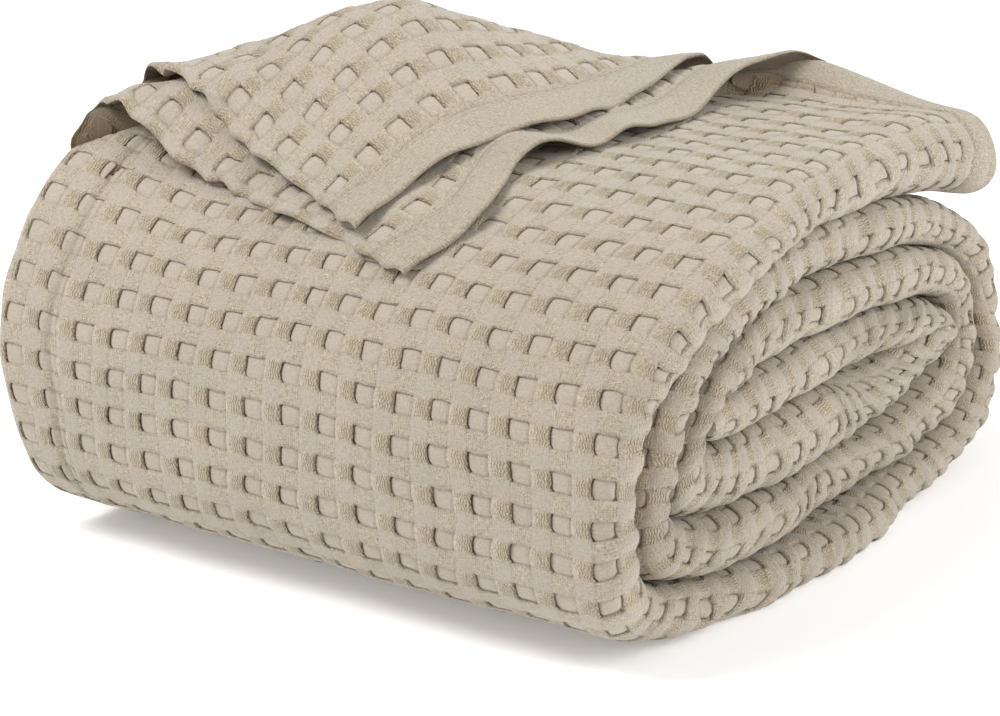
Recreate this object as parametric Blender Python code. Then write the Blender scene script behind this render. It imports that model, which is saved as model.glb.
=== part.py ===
"""A waffle weave cotton blanket, folded lengthwise into a long strip and rolled up.

The blanket lies folded in eight, so the strip has one big rounded fold along its right side, and
its hemmed sides and smaller folds along its left side. The strip is wound flat, from the core out,
and ends on top of the roll. There the two uppermost layers of cloth turn back over their own
corner, towards the front, and show their hems.

X runs along the roll, with the big fold at +X. The front of the roll faces -Y. Metres, +Z up.
"""

import math

import bmesh
import bpy
from mathutils import Vector

# Size of the roll
STRIP_WIDTH = 0.330  # along X, the 2.64 m side folded in eight
ROLL_DEPTH = 0.366  # front to back
WIDEST_LEVEL = 0.0712  # height where the roll is widest
TOP_REACH = 0.1090  # from that level up to the outermost layer
GROUND_PRESS = 0.0013  # how far the underside is pressed flat by its own weight
LAYER_GAP = 0.0008  # air between two layers of the roll

# The strip's thickness where each turn passes over the top, down the front, along the bottom and
# up the back, and the squareness of its four corners (2 is an ellipse)
TURNS = (
    # top, front, bottom, back, top-front, front-bottom, bottom-back, back-top
    (0.0272, 0.0230, 0.0200, 0.0235, 2.3, 4.0, 3.5, 2.3),
    (0.0218, 0.0225, 0.0242, 0.0230, 2.3, 3.6, 3.4, 2.3),
    (0.0250, 0.0220, 0.0347, 0.0220, 2.4, 3.0, 3.0, 2.4),
)
CORE_THICKNESS = 0.0235
CORE_SQUARENESS = 4.0
CORNER_STEPS = 8  # sections in every quarter turn
CORE_STEPS = 7  # of them in the rounded front end of the core

# The last stretch of the strip, from the middle of the top to its hemmed end at the back
STRIP_END = (
    # behind the middle, upper face and lower face above the widest level
    (0.000, 0.1090, 0.0818),
    (0.050, 0.1110, 0.0803),
    (0.088, 0.1117, 0.0768),
    (0.123, 0.1050, 0.0710),
    (0.152, 0.0955, 0.0640),
)
END_STEPS = 8
END_SKEW = 0.022  # how much further forward the end sits once it is clear of the big fold
SKEW_WIDTH = 0.080

# Places where the uppermost layers stand off the rest of the strip
SWELLS = (
    # across, behind the middle, height, size across, size along
    (-0.105, -0.005, 0.013, 0.075, 0.060),
    (0.078, 0.156, 0.029, 0.055, 0.032),
    (-0.165, -0.118, 0.014, 0.055, 0.062),
)

# Cross-section of the strip
FOLD_BULGE = 0.50  # how far the big fold bulges, as a share of the strip's thickness
FOLD_STEPS = 6
FOLD_REACHES = (
    # length from the strip's end, how much further the big fold reaches
    (0.000, 0.003),
    (0.160, 0.000),
    (0.250, 0.003),
    (0.300, 0.005),
    (0.370, -0.003),
    (0.450, -0.005),
    (0.505, -0.001),
    (0.545, 0.009),
    (0.620, 0.011),
    (0.750, 0.007),
    (0.880, 0.000),
    (1.140, -0.004),
    (1.260, 0.000),
)
OUTER_STEPS = 9
INNER_STEPS = 4
LEFT_EDGES = (
    # share of the thickness, how far it sits in, points around it
    (0.125, 0.0000, 2),  # first side hem
    (0.125, 0.0030, 2),  # second side hem
    (0.250, 0.0050, 3),  # fold of two layers
    (0.500, 0.0025, 4),  # fold of four layers
)
GROOVE_DEPTH = 0.0055
CROWN = 0.0010  # how much the middle of the strip stands out from its sides
WAVER = 0.0020  # how much both sides wander along the strip
WAVER_LENGTH = 0.190

# The turned-back corner: two layers of cloth, each turning over a crest that runs slantwise
# across the strip. Places are given across the strip and along its upper face.
CLOTH_THICKNESS = 0.0026
LOWER_BOW = (
    # part of the end hem from the corner, how far the hem bows outwards
    (0.00, 0.000),
    (0.10, 0.010),
    (0.17, 0.011),
    (0.24, 0.003),
    (0.30, -0.002),
    (0.40, 0.007),
    (0.50, 0.011),
    (0.60, 0.012),
    (0.70, 0.011),
    (0.80, 0.005),
    (1.00, 0.000),
)
UPPER_BOW = (
    (0.00, 0.000),
    (0.20, 0.004),
    (0.35, 0.010),
    (0.50, 0.020),
    (0.65, 0.019),
    (0.85, 0.009),
    (1.00, 0.000),
)
LOWER_LAYER = {
    "crest": ((-0.1640, -0.106), (0.070, 0.114)),
    "corner": (0.038, -0.156),
    "rest": 0.0034,
    "heights": ((0.00, 0.028), (0.25, 0.029), (0.45, 0.030), (0.65, 0.016), (0.82, 0.011), (1.00, 0.022)),
    "lengths": ((0.00, 0.045), (0.45, 0.070), (1.00, 0.055)),
    "turn": ((0.00, 0.011), (0.45, 0.013), (1.00, 0.010)),
    "bow": LOWER_BOW,
}
UPPER_LAYER = {
    "crest": ((-0.1640, -0.075), (0.038, 0.104)),
    "corner": (0.005, -0.141),
    "rest": 0.0078,
    "heights": ((0.00, 0.029), (0.10, 0.029), (0.20, 0.0345), (0.43, 0.049), (0.60, 0.0365), (0.83, 0.0165), (1.00, 0.017)),
    "lengths": ((0.00, 0.070), (0.43, 0.125), (1.00, 0.055)),
    "turn": ((0.00, 0.012), (0.43, 0.014), (1.00, 0.009)),
    "bow": UPPER_BOW,
}
ROOT_DEPTH = 0.0040  # how deep the foot of each turned layer runs into the strip
CREST_STEPS = 20
FOOT_STEPS = 5
TURN_STEPS = 5
LAID_STEPS = 10

CLOTH_COLOUR = (0.597, 0.527, 0.423, 1.0)
CLOTH_ROUGHNESS = 0.92


def smooth_row(rows, place):
    """Values at a place, on smooth curves through rows of (place, value, ...)."""
    last = len(rows) - 1
    place = min(max(place, rows[0][0]), rows[last][0])
    low = 0
    while low < last - 1 and place > rows[low + 1][0]:
        low += 1
    here, there = rows[low], rows[low + 1]
    before, after = rows[max(low - 1, 0)], rows[min(low + 2, last)]
    span = there[0] - here[0]
    part = (place - here[0]) / span
    values = []
    for k in range(1, len(here)):
        leave = (there[k] - before[k]) / (there[0] - before[0]) * span
        arrive = (after[k] - here[k]) / (after[0] - here[0]) * span
        rise = part * part * (3 - 2 * part)
        values.append(
            here[k] + rise * (there[k] - here[k])
            + part * (1 - part) * ((1 - part) * leave - part * arrive)
        )
    return values


def smooth_step(part):
    """Smooth rise from 0 to 1 as the part goes from 0 to 1."""
    part = min(max(part, 0.0), 1.0)
    return part * part * (3 - 2 * part)


def corner_arc(angle, reach_side, reach_up, squareness):
    """Point of a quarter superellipse: straight up at angle 0, sideways at a right angle."""
    side = max(math.sin(angle), 0.0) ** (2 / squareness)
    up = max(math.cos(angle), 0.0) ** (2 / squareness)
    return reach_side * side, reach_up * up


def turn_reaches():
    """Outer and inner reach of every turn at the top, front, bottom and back."""
    outer = [[TOP_REACH, ROLL_DEPTH / 2, WIDEST_LEVEL + GROUND_PRESS, ROLL_DEPTH / 2]]
    inner = []
    for row in TURNS:
        inner.append([reach - thickness for reach, thickness in zip(outer[-1], row[:4])])
        outer.append([reach - LAYER_GAP for reach in inner[-1]])
    return outer, inner


def winding():
    """Matching points of the strip's outer and inner face, from its end on top to the core."""
    outer, inner = turn_reaches()
    core_top = outer[-1][0]
    core_level = core_top - CORE_THICKNESS / 2
    core_end = outer[-1][1]
    right = math.pi / 2
    steps = CORNER_STEPS
    pairs = []
    for step in range(END_STEPS):
        y = STRIP_END[-1][0] * (1 - step / END_STEPS)
        upper, lower = smooth_row(STRIP_END, y)
        pairs.append(((y, upper), (y, lower)))
    for turn, row in enumerate(TURNS):
        corners = row[4:]
        innermost = turn == len(TURNS) - 1
        reach, within = outer[turn], inner[turn]
        beyond_top = outer[turn + 1][0]
        if innermost:
            # The innermost turn closes round the core, whose level is above the widest one
            under = [CORE_SQUARENESS] * 4
            within_top, level = within[0] - core_level, core_level
            within_low = core_level + within[2]
            core_low = core_top - CORE_THICKNESS
        else:
            under = TURNS[turn + 1][4:]
            within_top, level = within[0], 0.0
            within_low = within[2]
        for step in range(steps):
            angle = right * step / steps
            y, z = corner_arc(angle, reach[1], reach[0], corners[0])
            v, w = corner_arc(angle, within[1], within_top, under[0])
            pairs.append(((-y, z), (-v, level + w)))
        for step in range(steps):
            angle = right * (1 - step / steps)
            y, z = corner_arc(angle, reach[1], reach[2], corners[1])
            v, w = corner_arc(angle, within[1], within_low, under[1])
            pairs.append(((-y, -z), (-v, level - w)))
        for step in range(steps):
            angle = right * step / steps
            y, z = corner_arc(angle, reach[3], reach[2], corners[2])
            if innermost:
                v, w = within[3] * step / steps, level - within_low
            else:
                v, w = corner_arc(angle, within[3], within_low, under[2])
                w = -w
            pairs.append(((y, -z), (v, w)))
        for step in range(steps):
            angle = right * (1 - step / steps)
            y, z = corner_arc(angle, reach[3], beyond_top, corners[3])
            if innermost:
                v, w = within[3] * (1 - step / steps), core_low
            else:
                v, w = corner_arc(angle, within[3], inner[turn + 1][0], under[3])
            pairs.append(((y, z), (v, w)))
    for step in range(CORE_STEPS + 1):
        angle = right * step / steps
        y, z = corner_arc(angle, core_end, core_top - core_level, CORE_SQUARENESS)
        pairs.append(((-y, core_level + z), (-y, core_level - z)))
    return pairs


def upper_profile():
    """The strip's upper face as a finely stepped line, with its length from the middle of the top."""
    points = []
    for step in range(40):
        y = STRIP_END[-1][0] * (1 - step / 40)
        points.append((y, smooth_row(STRIP_END, y)[0]))
    for step in range(41):
        side, up = corner_arc(math.pi / 2 * step / 40, ROLL_DEPTH / 2, TOP_REACH, TURNS[0][4])
        points.append((-side, up))
    length = -math.dist(points[0], points[40])
    lengths = [-length]
    for near, far in zip(points, points[1:]):
        lengths.append(lengths[-1] - math.dist(near, far))
    shift = lengths[40]
    return [(along - shift, y, z) for along, (y, z) in zip(lengths, points)]


UPPER_PROFILE = upper_profile()


def swell(x, along):
    """How far the uppermost layers stand off the strip at one place."""
    total = 0.0
    for place, behind, height, across, length in SWELLS:
        total += height * math.exp(-(((x - place) / across) ** 2) - ((along - behind) / length) ** 2)
    return total


def on_strip(x, along, height):
    """Point at a height above the strip's upper face."""
    k = 0
    while k < len(UPPER_PROFILE) - 2 and UPPER_PROFILE[k + 1][0] > along:
        k += 1
    near, far = UPPER_PROFILE[k], UPPER_PROFILE[k + 1]
    part = (near[0] - along) / (near[0] - far[0])
    y = near[1] + part * (far[1] - near[1])
    z = near[2] + part * (far[2] - near[2])
    slope = math.hypot(near[1] - far[1], near[2] - far[2])
    across = (near[2] - far[2]) / slope
    up = (near[1] - far[1]) / slope
    return Vector((x, y - across * height, WIDEST_LEVEL + z + up * height))


def left_edge(depth):
    """Insets and thickness shares of the left side's points, from the outer face to the inner."""
    points = []
    start = 0.0
    for share, inset, count in LEFT_EDGES:
        inset *= depth / GROOVE_DEPTH
        for k in range(count):
            angle = math.pi * (k + 0.5) / count
            points.append((inset + depth * (1 - math.sin(angle)), start + share * (1 - math.cos(angle)) / 2))
        start += share
        if start < 1:
            points.append((inset + depth, start))
    return points


def strip_mesh():
    """The folded and rolled strip: one cross-section at every step of the winding."""
    mesh = bmesh.new()
    pairs = winding()
    half = STRIP_WIDTH / 2
    loops = []
    wound = 0.0
    for number, (outer, inner) in enumerate(pairs):
        if number:
            wound += math.dist(outer, pairs[number - 1][0])
        thickness = math.dist(outer, inner)
        waver = WAVER * math.sin(2 * math.pi * wound / WAVER_LENGTH)
        bulge = FOLD_BULGE * thickness
        right = half + smooth_row(FOLD_REACHES, wound)[0]
        depth = GROOVE_DEPTH * (0.1 + 0.9 * smooth_step((thickness - 0.012) / 0.010))
        uppermost = number < END_STEPS + CORNER_STEPS
        shares = []
        for k in range(OUTER_STEPS):
            shares.append((-half + GROOVE_DEPTH + (right + half - GROOVE_DEPTH - bulge) * k / OUTER_STEPS, 0.0))
        for k in range(FOLD_STEPS + 1):
            angle = math.pi * k / FOLD_STEPS
            shares.append((right - bulge + bulge * math.sin(angle), (1 - math.cos(angle)) / 2))
        for k in range(1, INNER_STEPS + 1):
            shares.append((right - bulge - (right + half - GROOVE_DEPTH - bulge) * k / INNER_STEPS, 1.0))
        for inset, share in reversed(left_edge(depth)):
            shares.append((-half + inset, share))
        loop = []
        for x, share in shares:
            depth = share - CROWN / thickness * (1 - (x / half) ** 2)
            y = outer[0] + depth * (inner[0] - outer[0])
            z = outer[1] + depth * (inner[1] - outer[1])
            if uppermost and share < 0.5:
                along = y if y > 0 else -math.dist((y, z), (0, TOP_REACH))
                z += swell(x, along) * (1 - 2 * share)
            if number < END_STEPS:
                y -= END_SKEW * smooth_step((half - x) / SKEW_WIDTH) * y / STRIP_END[-1][0]
            z = max(z + WIDEST_LEVEL, 0.0)
            loop.append(mesh.verts.new((x + waver, y, z)))
        loops.append(loop)
    count = len(loops[0])
    for near, far in zip(loops, loops[1:]):
        for k in range(count):
            mesh.faces.new((near[k], near[(k + 1) % count], far[(k + 1) % count], far[k]))
    mesh.faces.new(reversed(loops[0]))
    mesh.faces.new(loops[-1])
    ends = [face for face in mesh.faces if len(face.verts) > 4]
    bmesh.ops.triangulate(mesh, faces=ends, ngon_method="EAR_CLIP")
    bmesh.ops.recalc_face_normals(mesh, faces=mesh.faces)
    return mesh


class TurnedLayer:
    """One layer of cloth turned back over its crest."""

    def __init__(self, sizes, below=None):
        self.sizes = sizes
        self.below = below
        start, end = (Vector(point) for point in sizes["crest"])
        self.start = start
        self.length = (end - start).length
        self.along = (end - start) / self.length
        self.forward = Vector((self.along.y, -self.along.x))
        corner = Vector(sizes["corner"]) - start
        self.corner_share = corner.dot(self.along) / self.length
        self.corner_reach = corner.dot(self.forward)
        side = corner.normalized()
        shear = side.dot(self.along) / self.length * self.corner_reach / (1 - self.corner_share)
        self.bow_reach = side.dot(self.forward) + shear

    def reach(self, share):
        """How far the layer reaches forward of its crest before its hem."""
        if share <= self.corner_share:
            return self.corner_reach * share / self.corner_share
        part = (share - self.corner_share) / (1 - self.corner_share)
        return self.corner_reach * (1 - part) + self.bow_reach * smooth_row(self.sizes["bow"], part)[0]

    def height(self, share, forward):
        """Height above the strip of the part that lies on top, some way forward of its crest."""
        place = self.start + self.along * self.length * share + self.forward * forward
        swollen = swell(place.x, place.y)
        rest = self.sizes["rest"] + swollen
        crest = smooth_row(self.sizes["heights"], share)[0]
        length = smooth_row(self.sizes["lengths"], share)[0]
        turn = smooth_row(self.sizes["turn"], share)[0]
        middle = (crest + swollen) / 2
        if forward < turn:
            part = 1 - forward / turn
            height = middle + (crest - middle) * math.sqrt(max(1 - part * part, 0.0))
        else:
            fall = smooth_step((forward - turn) / length)
            height = crest + (rest - crest) * fall
        height = max(height, rest)
        if self.below and forward > turn * 0.5:
            under = place - self.below.start
            own_share = max(under.dot(self.below.along) / self.below.length, 0.0)
            own_forward = under.dot(self.below.forward)
            if own_forward > -2 * CLOTH_THICKNESS and own_share < 1:
                clear = self.below.height(own_share, own_forward + 2 * CLOTH_THICKNESS)
                if own_forward > 0:
                    clear = max(clear, self.below.height(own_share, own_forward))
                height = max(height, clear + CLOTH_THICKNESS * 1.7)
        return height

    def column(self, share):
        """Points of the layer's middle from its foot in the strip, over its crest, to its hem."""
        crest = self.start + self.along * self.length * share
        top = smooth_row(self.sizes["heights"], share)[0]
        turn = smooth_row(self.sizes["turn"], share)[0]
        lean = self.forward - self.along * self.forward.x / self.along.x * (1 - share) ** 2
        points = []
        for k in range(FOOT_STEPS):
            angle = math.pi / 2 * k / FOOT_STEPS
            place = crest + lean * turn * math.cos(angle)
            swollen = swell(place.x, place.y)
            middle = (top + swollen) / 2
            height = swollen - ROOT_DEPTH + (middle - swollen + ROOT_DEPTH) * math.sin(angle)
            points.append(on_strip(place.x, place.y, height))
        first = turn
        reach = max(self.reach(share), turn + CLOTH_THICKNESS)
        for k in range(TURN_STEPS):
            forward = first * (1 - math.cos(math.pi / 2 * k / TURN_STEPS))
            place = crest + self.forward * forward
            points.append(on_strip(place.x, place.y, self.height(share, forward)))
        for k in range(LAID_STEPS + 1):
            forward = first + (reach - first) * k / LAID_STEPS
            place = crest + self.forward * forward
            points.append(on_strip(place.x, place.y, self.height(share, forward)))
        return points

    def mesh(self):
        """The layer as a thin closed body."""
        before = round(CREST_STEPS * self.corner_share)
        shares = [self.corner_share * k / before for k in range(before)]
        after = CREST_STEPS - before
        shares += [self.corner_share + (1 - self.corner_share) * k / after for k in range(after + 1)]
        grid = [self.column(share) for share in shares]
        columns, rows = len(grid), len(grid[0])
        mesh = bmesh.new()
        faces = ([], [])
        for i in range(columns):
            upper, lower = [], []
            for k in range(rows):
                across = grid[min(i + 1, columns - 1)][k] - grid[max(i - 1, 0)][k]
                down = grid[i][min(k + 1, rows - 1)] - grid[i][max(k - 1, 0)]
                normal = down.cross(across).normalized() * CLOTH_THICKNESS / 2
                upper.append(mesh.verts.new(grid[i][k] + normal))
                lower.append(mesh.verts.new(grid[i][k] - normal))
            faces[0].append(upper)
            faces[1].append(lower)
        rim = []
        for i in range(columns - 1):
            for k in range(rows - 1):
                for side in faces:
                    corners = (side[i][k], side[i][k + 1], side[i + 1][k + 1], side[i + 1][k])
                    mesh.faces.new(corners if side is faces[0] else tuple(reversed(corners)))
        rim += [(i, 0) for i in range(columns)]
        rim += [(columns - 1, k) for k in range(1, rows)]
        rim += [(i, rows - 1) for i in range(columns - 2, -1, -1)]
        rim += [(0, k) for k in range(rows - 2, 0, -1)]
        for near, far in zip(rim, rim[1:] + rim[:1]):
            upper, lower = faces
            mesh.faces.new((upper[near[0]][near[1]], upper[far[0]][far[1]],
                            lower[far[0]][far[1]], lower[near[0]][near[1]]))
        bmesh.ops.recalc_face_normals(mesh, faces=mesh.faces)
        return mesh


def add_object(name, mesh):
    """Turn a finished mesh into an object of the scene."""
    data = bpy.data.meshes.new(name)
    mesh.to_mesh(data)
    mesh.free()
    body = bpy.data.objects.new(name, data)
    bpy.context.scene.collection.objects.link(body)
    return body


def cloth_material():
    """Undyed cotton."""
    material = bpy.data.materials.new("cotton")
    material.use_nodes = True
    surface = material.node_tree.nodes["Principled BSDF"]
    surface.inputs["Base Color"].default_value = CLOTH_COLOUR
    surface.inputs["Roughness"].default_value = CLOTH_ROUGHNESS
    return material


def join_bodies(body, other):
    """Make two overlapping bodies one, and remove the second."""
    union = body.modifiers.new("join", "BOOLEAN")
    union.operation = "UNION"
    union.solver = "EXACT"
    union.object = other
    bpy.context.view_layer.objects.active = body
    bpy.ops.object.modifier_apply(modifier=union.name)
    bpy.data.objects.remove(other)


def build():
    """Build the blanket as one body, resting on the ground at the origin."""
    for item in list(bpy.data.objects):
        bpy.data.objects.remove(item)
    blanket = add_object("blanket", strip_mesh())
    lower = TurnedLayer(LOWER_LAYER)
    upper = TurnedLayer(UPPER_LAYER, lower)
    join_bodies(blanket, add_object("lower_layer", lower.mesh()))
    join_bodies(blanket, add_object("upper_layer", upper.mesh()))
    corners = [vertex.co for vertex in blanket.data.vertices]
    middle_x = (max(point.x for point in corners) + min(point.x for point in corners)) / 2
    middle_y = (max(point.y for point in corners) + min(point.y for point in corners)) / 2
    for vertex in blanket.data.vertices:
        vertex.co.x -= middle_x
        vertex.co.y -= middle_y
    blanket.data.materials.append(cloth_material())
    for polygon in blanket.data.polygons:
        polygon.use_smooth = True
    blanket.data.set_sharp_from_angle(angle=math.radians(50))


build()
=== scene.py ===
import math

import bpy
import numpy as np
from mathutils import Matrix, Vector


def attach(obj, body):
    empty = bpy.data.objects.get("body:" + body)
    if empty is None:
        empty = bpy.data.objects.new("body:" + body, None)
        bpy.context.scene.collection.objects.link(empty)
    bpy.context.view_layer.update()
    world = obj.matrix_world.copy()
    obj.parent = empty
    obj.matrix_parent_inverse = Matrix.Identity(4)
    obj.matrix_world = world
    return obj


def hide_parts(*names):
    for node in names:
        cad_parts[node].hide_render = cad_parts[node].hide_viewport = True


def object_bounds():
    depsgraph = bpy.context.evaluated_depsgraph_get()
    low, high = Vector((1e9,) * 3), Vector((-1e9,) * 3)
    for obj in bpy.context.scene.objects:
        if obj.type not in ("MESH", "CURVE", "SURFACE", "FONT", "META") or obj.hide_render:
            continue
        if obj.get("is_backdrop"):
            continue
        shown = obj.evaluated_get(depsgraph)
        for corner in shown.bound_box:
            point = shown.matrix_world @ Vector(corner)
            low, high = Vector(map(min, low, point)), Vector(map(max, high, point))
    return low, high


# %% [markdown]
# This scene dresses a rolled waffle weave blanket. The frame holds one plain solid: a strip of
# folded cloth, wound into a roll, with its loose corner turned back. The solid is hidden here and
# the cloth itself is laid over it, as sheets whose pockets and ridges are real geometry. A cloth
# simulation could drape such a sheet, but it would not keep the folds where the real blanket has
# them, so every point is placed by its length along the strip and its width across it.

# %% Load the frame
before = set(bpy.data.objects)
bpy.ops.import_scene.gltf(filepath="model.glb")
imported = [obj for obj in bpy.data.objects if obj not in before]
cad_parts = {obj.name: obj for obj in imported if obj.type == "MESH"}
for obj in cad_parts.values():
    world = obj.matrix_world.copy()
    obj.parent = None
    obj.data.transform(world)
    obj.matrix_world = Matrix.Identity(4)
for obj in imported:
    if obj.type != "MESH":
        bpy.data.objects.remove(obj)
cad_low, cad_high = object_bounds()
print("solid", [round(c, 4) for c in cad_low], [round(c, 4) for c in cad_high])

# %% [markdown]
# The blanket was folded lengthwise into a strip of eight layers, and the strip was wound flat, three
# turns round a flattened core. These sizes, in metres, are those of the solid, so the cloth lies
# where the solid is.

# %% Roll sizes
REPEAT = 0.01925  # one repeat of the weave: a sunken pocket with the ridges round it
STRIP_WIDTH = 0.330
HALF = STRIP_WIDTH / 2
CENTRING = (-0.0063, 0.0, 0.0)  # the solid is centred on its bounding box
ROLL_DEPTH = 0.366
WIDEST_LEVEL = 0.0712  # height above the ground where the roll is deepest: the curves' zero
TOP_REACH = 0.1090  # from that level up to the top
GROUND_PRESS = 0.0013  # how much of the round underside is pressed flat
LAYER_GAP = 0.0008  # between one turn and the next
TURNS = (
    # thickness at top, front, bottom and back, and how square the four quarters between them are
    (0.0272, 0.0230, 0.0200, 0.0235, 2.3, 4.0, 3.5, 2.3),
    (0.0218, 0.0225, 0.0242, 0.0230, 2.3, 3.6, 3.4, 2.3),
    (0.0250, 0.0220, 0.0347, 0.0220, 2.4, 3.0, 3.0, 2.4),
)
CORE_THICKNESS = 0.0235
CORE_SQUARENESS = 4.0
print("strip", round(STRIP_WIDTH / REPEAT, 1), "repeats wide, wound for", len(TURNS), "turns")

# %% [markdown]
# The strip ends on top, behind the middle, where it thins out. Its upper face has a few soft swells
# where the layers inside are bunched. Sculpting could make them, but bumps with a place, a height
# and two sizes are easy to move while comparing with the real thing.

# %% Strip's end and swells
STRIP_END = (
    # behind the middle, upper face and lower face above the widest level
    (0.000, 0.1090, 0.0818),
    (0.050, 0.1110, 0.0803),
    (0.088, 0.1117, 0.0768),
    (0.123, 0.1050, 0.0710),
    (0.152, 0.0955, 0.0640),
)
END_SKEW = 0.022  # the end lies this much further forward,
SKEW_WIDTH = 0.080  # except over this width at the big fold
SWELLS = (
    # across, behind the middle, height, size across, size along
    (-0.105, -0.005, 0.013, 0.075, 0.060),
    (0.078, 0.156, 0.029, 0.055, 0.032),
    (-0.165, -0.118, 0.014, 0.055, 0.062),
    (0.175, 0.148, 0.004, 0.045, 0.040),
)
print(len(SWELLS), "swells")

# %% [markdown]
# The strip's right side is one big rounded fold and its left side shows the edges of the layers.
# Neither runs straight, so two tables say how much further each side reaches along the strip. The left
# side's table, the last swell and the lower turned-back layer's crest were set last, and go up to 25 mm
# away from the solid's.

# %% Reaches of both sides
FOLD_BULGE = 0.50  # of the strip's thickness: how far the big fold rounds out
FOLD_REACHES = (
    # length from the strip's end, how much further the big fold reaches
    (0.000, 0.003),
    (0.160, 0.000),
    (0.250, 0.003),
    (0.300, 0.005),
    (0.370, -0.003),
    (0.450, -0.005),
    (0.505, -0.001),
    (0.545, 0.009),
    (0.620, 0.011),
    (0.750, 0.007),
    (0.880, 0.000),
    (1.140, -0.004),
    (1.260, 0.000),
)
LEFT_REACHES = (
    # length from the strip's end, how much further the left side reaches
    (0.000, 0.000),
    (0.160, 0.001),
    (0.260, 0.0045),
    (0.340, 0.0050),
    (0.390, 0.0030),
    (0.430, -0.0065),
    (0.470, -0.0175),
    (0.520, -0.0250),
    (0.620, -0.0180),
    (0.800, 0.000),
    (1.140, 0.000),
)
LEFT_SPREAD = 0.075  # the left side's reach fades out over this width
EDGE_DEPTH = 0.0055  # of the grooves between the layers' edges
CROWN = 0.0010  # how much the faces stand proud at mid width
FIRST_POCKET = -0.1588  # across: left side of the first column of pockets
print("fold reaches", len(FOLD_REACHES), "rows, left side reaches", len(LEFT_REACHES), "rows")

# %% [markdown]
# A few helpers for curves. Rows of a table become a smooth curve, a smooth step runs from 0 to 1,
# and a bell is 1 at its middle and fades to both sides. All take whole arrays, because the cloth has
# some hundred thousand points and a Python loop over them would be slow.


# %% Curves
def smooth_step(part):
    part = np.clip(part, 0.0, 1.0)
    return part * part * (3 - 2 * part)


def bell(offset, size):
    return np.exp(-((offset / size) ** 2))


def smooth_rows(rows, place):
    """Values at places on smooth curves through rows of (place, value, ...)."""
    table = np.array(rows, float)
    knots = table[:, 0]
    place = np.clip(place, knots[0], knots[-1])
    low = np.clip(np.searchsorted(knots, place, side="right") - 1, 0, len(knots) - 2)
    before = np.maximum(low - 1, 0)
    after = np.minimum(low + 2, len(knots) - 1)
    span = knots[low + 1] - knots[low]
    part = (place - knots[low]) / span
    values = []
    for column in table[:, 1:].T:
        here, there = column[low], column[low + 1]
        leave = (there - column[before]) / (knots[low + 1] - knots[before]) * span
        arrive = (column[after] - here) / (knots[after] - knots[low]) * span
        rise = part * part * (3 - 2 * part)
        values.append(
            here + rise * (there - here) + part * (1 - part) * ((1 - part) * leave - part * arrive)
        )
    return values


# %% [markdown]
# The winding is measured once, as a dense line of matching points on the strip's outer and inner
# face. A curve object with handles could follow it too, but each quarter of a turn is a squarish
# arc, because the roll is pressed flat, and a formula gives that with one number for each corner.


# %% Winding
END_POINTS = 120  # along the strip's end, up to the middle of the roll
QUARTER_POINTS = 160  # along each quarter of a turn
CORE_CLOSING = 0.90  # of the core's last quarter, which the strip follows


def corner_arc(angle, reach_side, reach_up, squareness):
    side = np.maximum(np.sin(angle), 0.0) ** (2 / squareness)
    up = np.maximum(np.cos(angle), 0.0) ** (2 / squareness)
    return reach_side * side, reach_up * up


def arc_angles():
    """Angles that step evenly along a squarish quarter, from straight up to sideways."""
    part = np.linspace(0, 1, QUARTER_POINTS, endpoint=False)
    return math.pi / 2 * smooth_step(part)


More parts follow.
